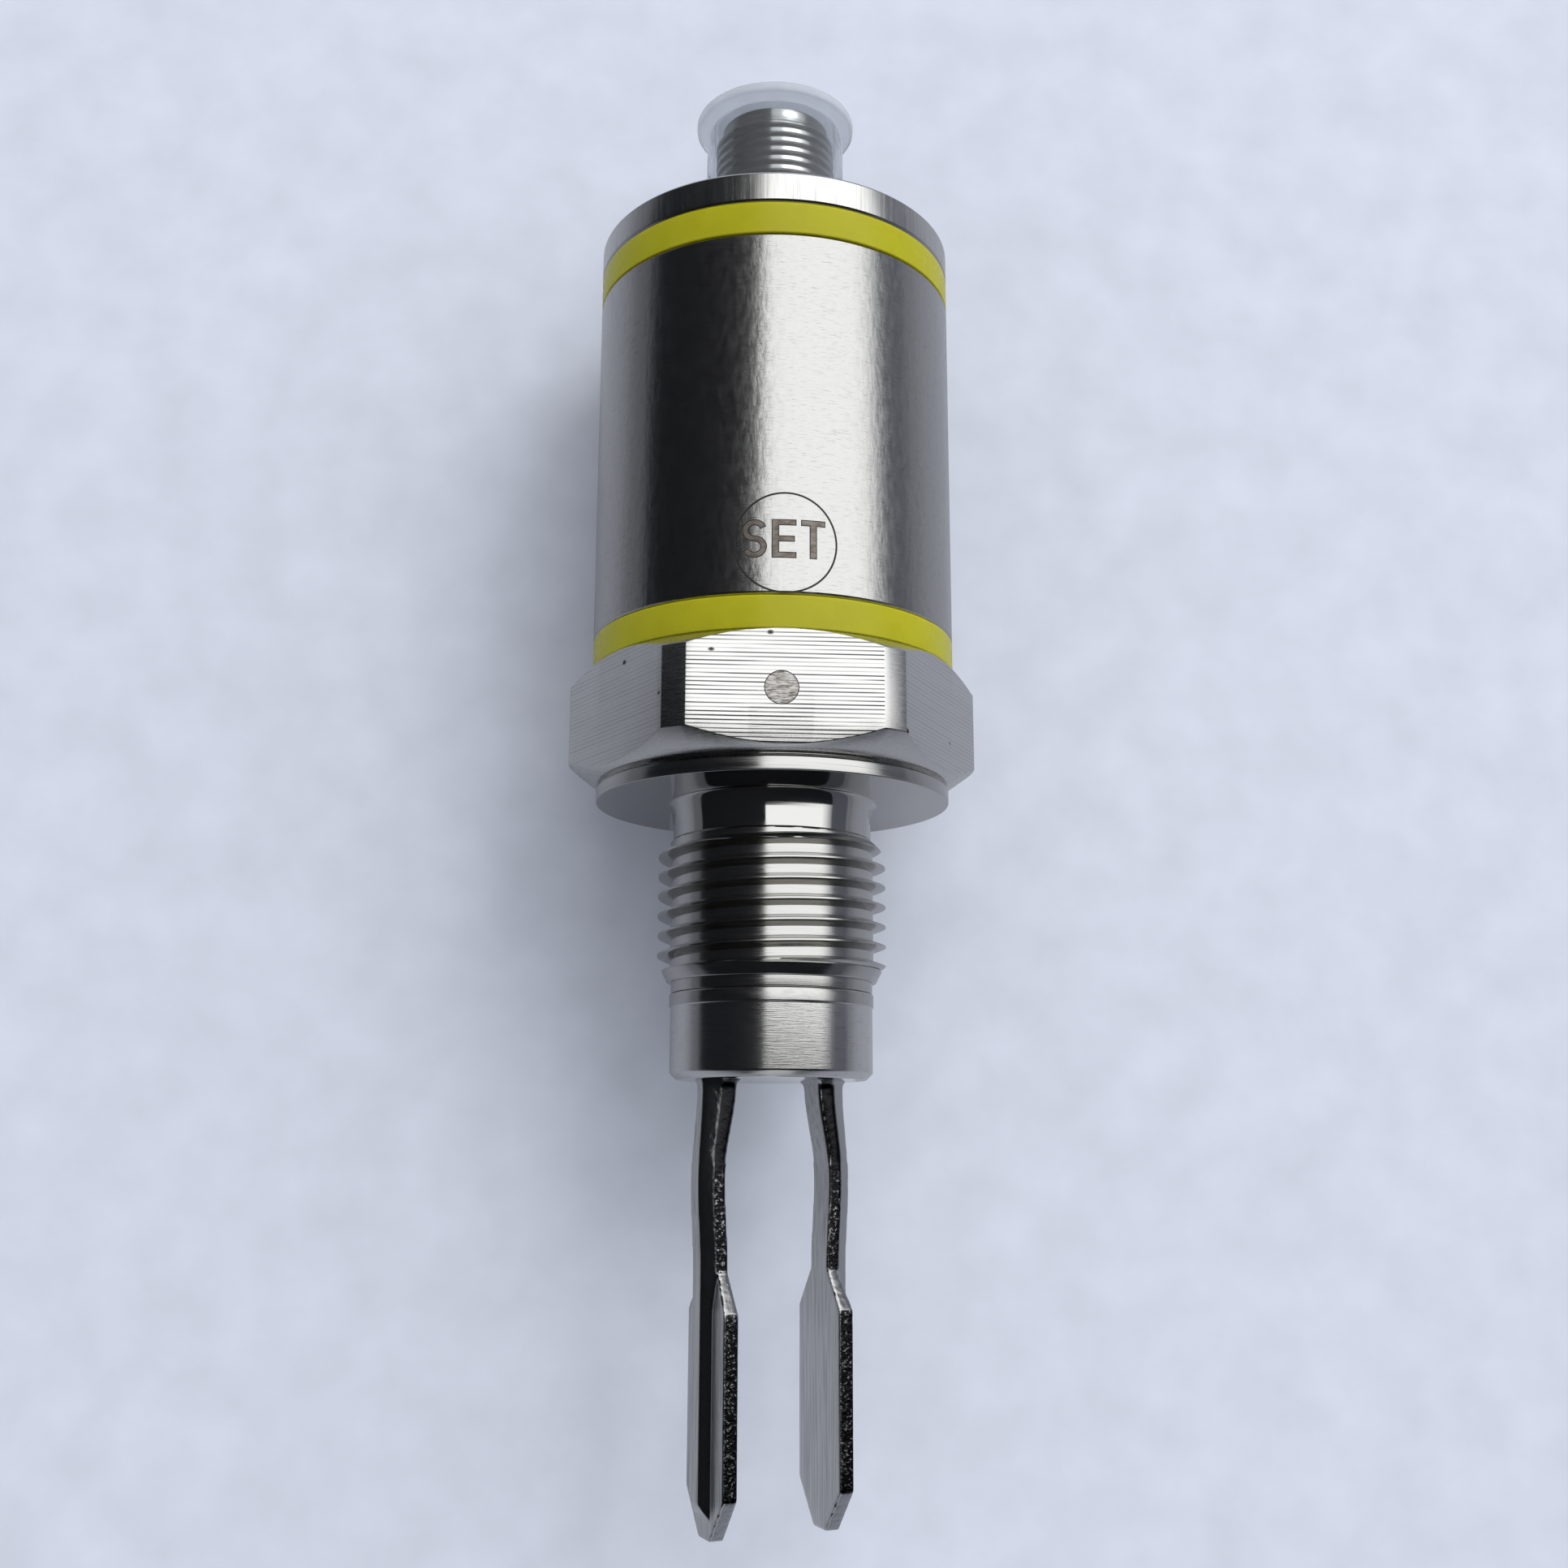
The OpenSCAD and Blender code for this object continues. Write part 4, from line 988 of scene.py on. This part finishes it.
def tine(bm, size):
    """One tine in millimetres, before it is fused: a plate of varying width, and a spine on its back."""
    low = span("fork")[0]
    top = size.nose_end + size.plate / 2
    inner = size.tine_gap / 2
    outer = inner + size.plate
    bent = size.nose_end - size.root_blend
    root_shift = (size.stem_gap - size.root_gap) / 2

    def shift(y, lean):
        """Outward shift of a section that leans inwards at the root."""
        spread = (size.stem_gap - size.tine_gap) / 2 * ease((bent - y) / (bent - size.stem_end))
        return spread - lean * ease((size.nose_end - y) / size.root_blend)

    def face(y):
        """Place of the side that faces the other tine."""
        return inner + shift(y, root_shift)

    def edge(y):
        """Place at which the stem's edge meets the spine's flank."""
        return inner + size.stem_edge + shift(y, (root_shift + size.root_lean) / 2)

    def flare(y):
        """Growth of a section in the fillet at the root."""
        return size.root_flare * max(0.0, 1 - max(size.nose_end - y, 0.0) / size.root_flare) ** 2

    stem = [size.nose_end - size.root_flare * k / FLARE_ROWS for k in range(FLARE_ROWS)]
    straight_top = size.nose_end - size.root_flare
    stem_length = size.stem_end - straight_top
    stem += [straight_top + stem_length * k / STEM_ROWS for k in range(STEM_ROWS + 1)]
    plates = [(face(y) - flare(y), edge(y), y, size.stem_width + 2 * flare(y)) for y in [top, *stem]]
    plates += [(inner, outer, size.blade_top, size.blade_width),
               (inner, outer, size.blade_end, size.blade_width), (inner, outer, low, size.tip_width)]
    loft(bm, [[(near, y, -width / 2), (near, y, width / 2), (far, y, width / 2), (far, y, -width / 2)]
              for near, far, y, width in plates])

    backs = [(y, outer + size.spine_proud + shift(y, size.root_lean) + flare(y))
             for y in [top, *stem, size.spine_end]]
    backs.append((size.spine_end - size.spine_bevel, outer))
    sections = []
    for y, back in backs:
        half = size.stem_width / 2 + flare(y)
        foot = edge(y)
        ridge = half - (back - foot) * math.tan(size.flank)
        heart = foot - size.stem_edge / 2
        sections.append([(heart, y, -half), (heart, y, half), (foot, y, half),
                         (back, y, ridge), (back, y, -ridge), (foot, y, -half)])
    loft(bm, sections)


def smoothed(bm, verts, passes):
    """Evens out a fused mesh by moving its points half way towards their neighbours."""
    for _ in range(passes):
        bmesh.ops.smooth_vert(bm, verts=verts, factor=0.5,
                              use_axis_x=True, use_axis_y=True, use_axis_z=True)


class LEVEL_SWITCH_OT_fork(Operator):
    """Builds the fork: welded nose with its diaphragm, and two cast tines"""

    bl_idname = "level_switch.fork"
    bl_label = "Fork"

    def execute(self, context):
        size = sizes()
        blank = bmesh.new()
        tine(blank, size)
        body = new_object("tine", blank)
        fuse = body.modifiers.new("Fused casting", "REMESH")
        fuse.mode = "VOXEL"
        fuse.voxel_size = size.cast_voxel / MM
        casting = baked(body)
        casting.transform(Matrix.Scale(MM, 4))

        bm = bmesh.new()
        bm.from_mesh(casting)
        smoothed(bm, bm.verts, CAST_PASSES)
        smoothed(bm, [vert for vert in bm.verts if vert.co.y > size.root_end], ROOT_PASSES)
        bm.normal_update()
        ground = bm.verts.layers.float.new("ground")
        raw = bm.verts.layers.float.new("raw")
        grained = bm.verts.layers.float.new("grained")
        for vert in bm.verts:
            vert[ground] = ramp(abs(vert.normal.x), *GROUND_RANGE)
            # raw marks the edges that carry the painted dark reflection; grained lets bare grains and
            # relief into it below the roots
            vert[raw] = ramp(abs(vert.normal.z), *RAW_RANGE)
            vert[grained] = vert[raw] * (1 - ease((size.root_end - vert.co.y) / size.root_fade))
            rough = size.cast_relief * noise.noise(vert.co / size.cast_grain)
            vert.co += vert.normal * (1 - vert[ground]) * min(rough, 0.0)
        single = bpy.data.meshes.new("tine")
        bm.to_mesh(single)
        bm.clear()
        for turn in (0.0, math.pi):
            copy = single.copy()
            copy.transform(Matrix.Rotation(size.fork_turn + turn, 4, "Y"))
            bm.from_mesh(copy)

        floor = size.nose_end + size.diaphragm
        stud_top = span("fork")[1]
        band = size.nose_radius + size.weld_proud
        lathe(bm, rounded([
            (0, size.nose_end), (size.nose_radius - size.nose_bevel, size.nose_end),
            (size.nose_radius, size.nose_end + size.nose_bevel),
            (size.nose_radius, size.weld - size.weld_band - size.weld_proud),
            (band, size.weld - size.weld_band), (band, size.weld - size.weld_proud),
            (size.nose_radius - size.weld_proud, size.weld),
            (size.bore, size.weld), (size.bore, floor), (size.stud, floor),
            (size.stud, stud_top), (0, stud_top)], size.edge_round))

        cast, nose, seam = range(3)

        def paint(middle, normal):
            if middle.y < size.nose_end - WELD:
                return cast
            proud = math.hypot(middle.x, middle.z) - size.nose_radius
            return seam if proud > size.weld_proud / 3 else nose

        finished("fork_casting", bm, [cast_steel(), ground_steel(), weld_steel()],
                 ["fork"], paint=paint)
        return {"FINISHED"}


def light_ring(name, node, away, material, size):
    """A yellow ring with its skirt; away is 1 where the skirt points to +Y."""
    low, high = span(node)
    near, far = (low, high) if away > 0 else (high, low)
    sleeve = span("housing_sleeve")
    seat = sleeve[0] if away > 0 else sleeve[1]
    outer = reach(node) - size.mark_proud
    bm = bmesh.new()
    lathe(bm, rounded([
        (size.skirt_bore, near), (outer, near), (outer, seat), (size.skirt, seat),
        (size.skirt, far), (size.skirt_bore, far)], size.edge_round))
    finished(name, bm, [material], [node])


class LEVEL_SWITCH_OT_housing(Operator):
    """Builds the housing: sleeve, the two yellow rings and the lid"""

    bl_idname = "level_switch.housing"
    bl_label = "Housing"

    def execute(self, context):
        size = sizes()
        low, high = span("housing_sleeve")
        outer = reach("housing_sleeve") - size.mark_proud
        chamfer = size.sleeve_chamfer
        inner = reach("housing_sleeve") - size.sleeve_wall
        bm = bmesh.new()
        lathe(bm, rounded([
            (inner, low), (outer - chamfer, low), (outer, low + chamfer),
            (outer, high - chamfer), (outer - chamfer, high), (inner, high)], size.sleeve_round))
        finished("housing_tube", bm, [brushed_steel()], ["housing_sleeve"])

        plastic = tinted_plastic()
        light_ring("lower_yellow_ring", "lower_light_ring", 1, plastic, size)
        light_ring("upper_yellow_ring", "upper_light_ring", -1, plastic, size)

        end, top = span("lid")
        seat = span("upper_light_ring")[1]
        rim = reach("lid")
        ceiling = top - size.lid_plate
        bm = bmesh.new()
        lathe(bm, rounded([
            (size.lid_hole, ceiling), (size.space, ceiling), (size.space, end), (size.spigot, end),
            *groove(size, "upper_o_ring"), (size.spigot, seat),
            (rim - chamfer, seat), (rim, seat + chamfer), (rim, top - chamfer), (rim - chamfer, top),
            (size.lid_hole, top)], size.sleeve_round))
        lapped, turned = range(2)

        def paint(middle, normal):
            return lapped if abs(normal.y) < LID_LEAN else turned

        finished("lid_cover", bm, [lapped_steel(), turned_steel()], ["lid"], paint=paint)
        return {"FINISHED"}


def stroke(bm, points, width, radius):
    """A flat ribbon along points of the unrolled sleeve, wrapped on it at the given radius."""
    left, right = [], []
    for i, point in enumerate(points):
        before = points[max(i - 1, 0)]
        after = points[min(i + 1, len(points) - 1)]
        along = (Vector(after) - Vector(before)).normalized()
        across = Vector((-along.y, along.x)) * width / 2
        for side, shift in ((left, across), (right, -across)):
            x, y = Vector(point) + shift
            side.append(bm.verts.new((radius * math.sin(x / radius), y, radius * math.cos(x / radius))))
    for i in range(len(points) - 1):
        bm.faces.new((left[i], left[i + 1], right[i + 1], right[i]))


def straight(start, end):
    """Points along a straight stroke."""
    return [Vector(start).lerp(Vector(end), k / STROKE_STEPS) for k in range(STROKE_STEPS + 1)]


def letter_strokes(size, grow):
    """Centre lines and widths of the letters S, E and T in plain strokes, grown by an edge all round."""
    half, wide = size.letter_height / 2, size.letter_width / 2
    pen, bar = size.letter_stroke, size.letter_bar
    middle = size.mark_height + size.letter_rise
    line = half - bar / 2
    bowl, sway = line / 2, wide - bar / 2
    out = []

    left = size.letter_side - size.letter_step
    mouth = size.letter_mouth - grow / bowl
    sweep = FULL_TURN * 3 / 4 - mouth
    curve = []
    for first, start, turn, rise in ((0, mouth, sweep, bowl), (1, FULL_TURN / 4, -sweep, -bowl)):
        for k in range(first, BOWL_STEPS + 1):
            a = start + turn * k / BOWL_STEPS
            curve.append((left + sway * math.cos(a), middle + rise + bowl * math.sin(a)))
    out.append((curve, bar + 2 * grow))

    side = size.letter_side - wide
    stem = side + pen / 2
    out.append((straight((stem, middle - half - grow), (stem, middle + half + grow)), pen + 2 * grow))
    for y, share in ((line, 1.0), (0.0, size.letter_short), (-line, 1.0)):
        reached = side + share * size.letter_width + grow
        out.append((straight((side + pen + grow, middle + y), (reached, middle + y)), bar + 2 * grow))

    centre = size.letter_side + size.letter_step
    out.append((straight((centre - wide - grow, middle + line), (centre + wide + grow, middle + line)),
                bar + 2 * grow))
    foot = middle + half - bar - grow
    out.append((straight((centre, middle - half - grow), (centre, foot)), pen + 2 * grow))
    return out


def solid_film(bm, thickness):
    """Gives flat etched areas a closed body that reaches down to the steel."""
    bmesh.ops.recalc_face_normals(bm, faces=bm.faces)
    bmesh.ops.solidify(bm, geom=bm.faces[:], thickness=thickness)


class LEVEL_SWITCH_OT_marks(Operator):
    """Builds the etched marks: the ring with SET on the sleeve and the dot on the hexagon"""

    bl_idname = "level_switch.marks"
    bl_label = "Etched Marks"

    def execute(self, context):
        size = sizes()
        edge = burnt_edge()
        radius = reach("housing_sleeve")
        turn = [(size.mark_radius * math.cos(a), size.mark_height + size.mark_radius * math.sin(a))
                for a in even_angles(RING_SIDES)]
        bm = bmesh.new()
        stroke(bm, turn + turn[:1], size.mark_line, radius - size.mark_proud / 2)
        for points, width in letter_strokes(size, size.letter_edge):
            stroke(bm, points, width, radius - size.mark_proud / 2)
        solid_film(bm, size.mark_proud)
        finished("set_ring", bm, [edge])
        bm = bmesh.new()
        for points, width in letter_strokes(size, 0.0):
            stroke(bm, points, width, radius)
        solid_film(bm, size.mark_proud)
        letters = etched_steel("Laser-etched letters", (0.9, 0.35, 0.9), 0.15)
        finished("set_letters", bm, [letters])

        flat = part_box("process_fitting")[1].z
        face, under = flat - size.mark_proud / 2, flat - size.mark_proud * 2
        core = size.dot_radius - size.letter_edge
        path = [(0.0, face), (core, face), (core, flat), (size.dot_radius, flat),
                (size.dot_radius, under), (0.0, under)]
        bm = bmesh.new()
        bridge(bm, [[bm.verts.new((size.dot_side + r * math.cos(a), size.dot_height + r * math.sin(a), z))
                     for a in even_angles(DOT_SIDES)] for r, z in path], True)
        etched, burnt = range(2)

        def paint(middle, normal):
            spread = math.hypot(middle.x - size.dot_side, middle.y - size.dot_height)
            return etched if spread < core else burnt

        finished("orientation_dot", bm, [etched_steel("Laser-etched dot", (0.9, 0.16, 0.9), 0.95), edge],
                 paint=paint)
        return {"FINISHED"}


class LEVEL_SWITCH_OT_connector(Operator):
    """Builds the connector: threaded shell and contact pins"""

    bl_idname = "level_switch.connector"
    bl_label = "Connector"

    def execute(self, context):
        size = sizes()
        low, top = span("connector_shell")
        lid_top = span("lid")[1]
        ceiling = lid_top - size.lid_plate
        flange = reach("connector_shell")
        crest = size.lid_hole - size.connector_play
        lead = size.connector_root - size.connector_sink
        mouth = top - size.connector_lead
        start = lid_top + size.connector_rise
        steel = threaded_steel()
        bm = bmesh.new()
        bm.from_mesh(threaded({
            "Crest Radius": crest, "Root Radius": size.connector_root,
            "Pitch": size.connector_pitch, "Start": start, "End": mouth,
            "Start Radius": lead, "End Radius": lead, "Root Flat": size.connector_roots,
            "Crest Flat": size.connector_crests, "Steps per Turn": CONNECTOR_STEPS}, steel))
        lathe(bm, rounded([
            (lead, start), (crest, lid_top - size.connector_foot), (crest, ceiling),
            (flange, ceiling), (flange, low),
            (size.insert_bore, low), (size.insert_bore, size.insert_shoulder),
            (size.socket, size.insert_shoulder), (size.socket, top), (lead, top), (lead, mouth)],
            size.edge_round, closed=False), closed=False)
        finished("connector_tube", bm, [steel], ["connector_shell"])

        low, tip = span("contact_pins")
        bm = bmesh.new()
        brass = plated_brass()
        bm.from_mesh(grown(pins_tree(), {
            "Circle Radius": size.pin_circle, "Pin Radius": size.pin_radius, "Start": low, "End": tip,
            "Turn": math.pi / size.pin_count, "Count": size.pin_count, "Material": brass}))
        finished("connector_pins", bm, [brass], ["contact_pins"])
        return {"FINISHED"}


class LEVEL_SWITCH_OT_cap(Operator):
    """Builds the milky dust cap that pulls off the connector"""

    bl_idname = "level_switch.cap"
    bl_label = "Dust Cap"

    def execute(self, context):
        size = sizes()
        low, top = span("dust_cap")
        rim = reach("dust_cap")
        wall = size.cap_bore + size.cap_wall
        under = top - size.cap_rim
        bm = bmesh.new()
        lathe(bm, rounded([
            (size.cap_bore, low), (wall, low), (wall, under), (rim, under), (rim, top), (0, top),
            (0, top - size.cap_end), (size.cap_bore, top - size.cap_end)], size.cap_round))
        thin, thick = range(2)

        def paint(middle, normal):
            return thick if middle.y > under else thin

        finished("milky_cap", bm,
                 [milky_plastic("Thin polyethylene", 0.94), milky_plastic("Thick polyethylene", 0.72)],
                 ["dust_cap"], body="cap", paint=paint)
        return {"FINISHED"}


class LEVEL_SWITCH_OT_inner(Operator):
    """Gives the pieces inside the housing their finishes"""

    bl_idname = "level_switch.inner"
    bl_label = "Inner Pieces"

    def execute(self, context):
        finishes = inner_finishes()
        for part in frame["record"]["subparts"]:
            node = frame["nodes"][part["node"]]
            if node.hide_render:
                continue
            node.data.materials.clear()
            node.data.materials.append(finishes[part["material_slot"]])
        return {"FINISHED"}


# Stage

def card(name, corners, material):
    """A flat stage card through four corners."""
    bm = bmesh.new()
    bm.faces.new([bm.verts.new(corner) for corner in corners])
    made = new_object(name, bm, [material])
    return made


def soft_light(name, wide, long, level):
    """A flat light of the given brightness that the camera doesn't see."""
    lamp = bpy.data.lights.new(name, "AREA")
    lamp.shape = "RECTANGLE"
    lamp.size = wide
    lamp.size_y = long
    lamp.energy = level * math.pi * wide * long
    made = bpy.data.objects.new(name, lamp)
    bpy.context.scene.collection.objects.link(made)
    made.visible_camera = False
    return made


def felt(name, tone, fade):
    """Dark felt for a stage card; fade gives two places along x and the felt's cover at each."""
    material, tree, shader, place = surface(name, {"Base Color": (*tone, 1), "Roughness": 0.9})
    if fade:
        x = add(tree, "ShaderNodeSeparateXYZ", {0: place}).outputs["X"]
        fill(tree, shader, {"Alpha": add(tree, "ShaderNodeMapRange", {
            "Value": x, "From Min": fade[0], "From Max": fade[1], "To Min": fade[2], "To Max": fade[3]})})
    return material


class LEVEL_SWITCH_OT_stage(Operator):
    """Sets the floor, the lights and the camera at the photograph's viewing angle"""

    bl_idname = "level_switch.stage"
    bl_label = "Stage"

    def execute(self, context):
        scene = context.scene
        stage = scene.switch_stage
        scene.view_settings.view_transform = "Standard"
        ground = CAD_BOX[0][2]

        # Closed-cell foam sheet: pale and matt, with a soft crushed texture.
        foam = plain_finish("Pale foam sheet", colours().floor, 6.0, (0.7, 0.9),
                            {"IOR": 1.45, "Specular IOR Level": 0.0}, 0.2)
        wide = stage.floor_reach
        card("floor", [(-wide, -wide, ground), (wide, -wide, ground), (wide, wide, ground),
                       (-wide, wide, ground)], foam)

        # Dark parts of the room, seen only in the steel: both sides, and the room before the window.
        lean, distance = stage.window_lean, stage.window_distance
        middle = Vector((math.sin(lean), 0.0, math.cos(lean))) * distance
        across = Vector((math.cos(lean), 0.0, -math.sin(lean))) * distance
        half = math.tan(stage.window_spread)
        fading = math.tan(stage.window_spread - stage.window_fade)
        shade = [(middle + across * part) * stage.shade_place for part in (fading, half)]
        low = ground + stage.card_lift
        side, deep = stage.card_reach, stage.flag_reach
        tone = colours()
        for name, near, far, front, back, shown, fade in (
                ("left_flag", (stage.left_flag_side, stage.left_flag_height), (-side, low), -deep, deep,
                 tone.dark_felt, None),
                ("right_flag", (stage.right_flag_side, stage.right_flag_height), (side, low), -deep, deep,
                 tone.grey_felt, None),
                ("right_shade", shade[0].xz, shade[1].xz, stage.window_start, deep,
                 tone.grey_felt, (shade[0].x, shade[1].x, 0.0, 1.0)),
                ("front_flag", (middle - across * half).xz, (middle + across * half).xz, -deep,
                 stage.window_start, tone.dark_felt, None),
                # Painted shade: the floor cards lie just over the floor, are seen only in the steel, and
                # darken the floor that it mirrors, more so away from the part
                ("left_card", (-stage.card_start, low), (-side, low), -deep, deep, tone.shaded_floor_felt,
                 (-stage.cover_start, -stage.left_cover_end, stage.left_near, stage.left_far)),
                ("right_card", (stage.card_start, low), (side, low), -deep, deep, tone.shaded_floor_felt,
                 (stage.cover_start, stage.right_cover_end, stage.right_near, stage.right_far))):
            flag = card(name, [(near[0], front, near[1]), (near[0], back, near[1]),
                               (far[0], back, far[1]), (far[0], front, far[1])], felt(name, shown, fade))
            for ray in ("camera", "diffuse", "volume_scatter", "shadow"):
                setattr(flag, "visible_" + ray, False)

        world = bpy.data.worlds.new("Room")
        scene.world = world
        world.use_nodes = True
        tree = world.node_tree
        path = add(tree, "ShaderNodeLightPath").outputs
        mirrored = add(tree, "ShaderNodeMath", {
            0: path["Is Glossy Ray"], 1: path["Is Transmission Ray"]}, operation="MAXIMUM")
        seen = add(tree, "ShaderNodeMath", {0: mirrored, 1: path["Is Camera Ray"]}, operation="MAXIMUM")
        fill(tree, tree.nodes["Background"], {
            "Color": (*tone.room, 1),
            "Strength": add(tree, "ShaderNodeMapRange", {
                "Value": seen, "To Min": stage.room_level, "To Max": stage.backdrop_level})})

        key = soft_light("window", 2 * half * distance, stage.window_length, stage.window_level)
        key.location = middle + Vector((0.0, stage.window_start + stage.window_length / 2, 0.0))
        key.rotation_euler = (0.0, lean, 0.0)
        day = soft_light("daylight", stage.sun_size, stage.sun_size, stage.sun_level)
        toward = Vector((math.tan(stage.sun_lean), math.tan(stage.sun_rise), 1.0))
        day.location = toward * stage.sun_distance
        day.rotation_euler = toward.to_track_quat("Z", "Y").to_euler()
        day.visible_glossy = False

        right = Vector((math.cos(stage.turn), 0.0, math.sin(stage.turn)))
        lift = Vector((-math.sin(stage.turn), 0.0, math.cos(stage.turn)))
        axis = Vector((0.0, 1.0, 0.0))
        forward = axis * math.sin(stage.pitch) - lift * math.cos(stage.pitch)
        up = axis * math.cos(stage.pitch) + lift * math.sin(stage.pitch)
        pixel = stage.origin_depth / stage.focal_pixels
        aside = (stage.origin_x - IMAGE_SIZE / 2) * pixel
        down = (stage.origin_y - IMAGE_SIZE / 2) * pixel
        place = up * down - right * aside - forward * stage.origin_depth
        lens = bpy.data.cameras.new("photograph")
        lens.sensor_width = SENSOR_WIDTH
        lens.lens = stage.focal_pixels * SENSOR_WIDTH / IMAGE_SIZE
        lens.clip_start = CLIP_START
        camera = bpy.data.objects.new("photograph", lens)
        scene.collection.objects.link(camera)
        turn = Matrix((right, up, -forward)).transposed().to_4x4()
        camera.matrix_world = Matrix.Translation(place) @ turn @ Matrix.Rotation(stage.roll, 4, "Z")
        scene.camera = camera
        return {"FINISHED"}


# Panel and registration

BUILD_ORDER = (
    LEVEL_SWITCH_OT_stage,
    LEVEL_SWITCH_OT_fitting,
    LEVEL_SWITCH_OT_fork,
    LEVEL_SWITCH_OT_housing,
    LEVEL_SWITCH_OT_marks,
    LEVEL_SWITCH_OT_connector,
    LEVEL_SWITCH_OT_cap,
    LEVEL_SWITCH_OT_inner,
)


class LEVEL_SWITCH_PT_build(Panel):
    """Lists the pieces of the level switch and the values they are built from"""

    bl_idname = "LEVEL_SWITCH_PT_build"
    bl_label = "Level Switch"
    bl_space_type = "VIEW_3D"
    bl_region_type = "UI"
    bl_category = "Level Switch"

    def draw(self, context):
        layout = self.layout
        for operator in BUILD_ORDER:
            layout.operator(operator.bl_idname)
        scene = context.scene
        for group in (scene.switch_colours, scene.switch_sizes, scene.switch_stage):
            box = layout.box()
            for name in group.__annotations__:
                box.prop(group, name)


GROUPS = (SwitchSizes, SwitchColours, SwitchStage)


def register():
    for cls in (*GROUPS, *BUILD_ORDER, LEVEL_SWITCH_PT_build):
        bpy.utils.register_class(cls)
    bpy.types.Scene.switch_sizes = PointerProperty(type=SwitchSizes)
    bpy.types.Scene.switch_colours = PointerProperty(type=SwitchColours)
    bpy.types.Scene.switch_stage = PointerProperty(type=SwitchStage)


def unregister():
    del bpy.types.Scene.switch_stage
    del bpy.types.Scene.switch_colours
    del bpy.types.Scene.switch_sizes
    for cls in reversed((*GROUPS, *BUILD_ORDER, LEVEL_SWITCH_PT_build)):
        bpy.utils.unregister_class(cls)


def main():
    """Builds the stage and all pieces."""
    register()
    bpy.ops.level_switch.stage()
    bpy.ops.level_switch.fitting()
    bpy.ops.level_switch.fork()
    bpy.ops.level_switch.housing()
    bpy.ops.level_switch.marks()
    bpy.ops.level_switch.connector()
    bpy.ops.level_switch.cap()
    bpy.ops.level_switch.inner()


if __name__ == "__main__":
    main()
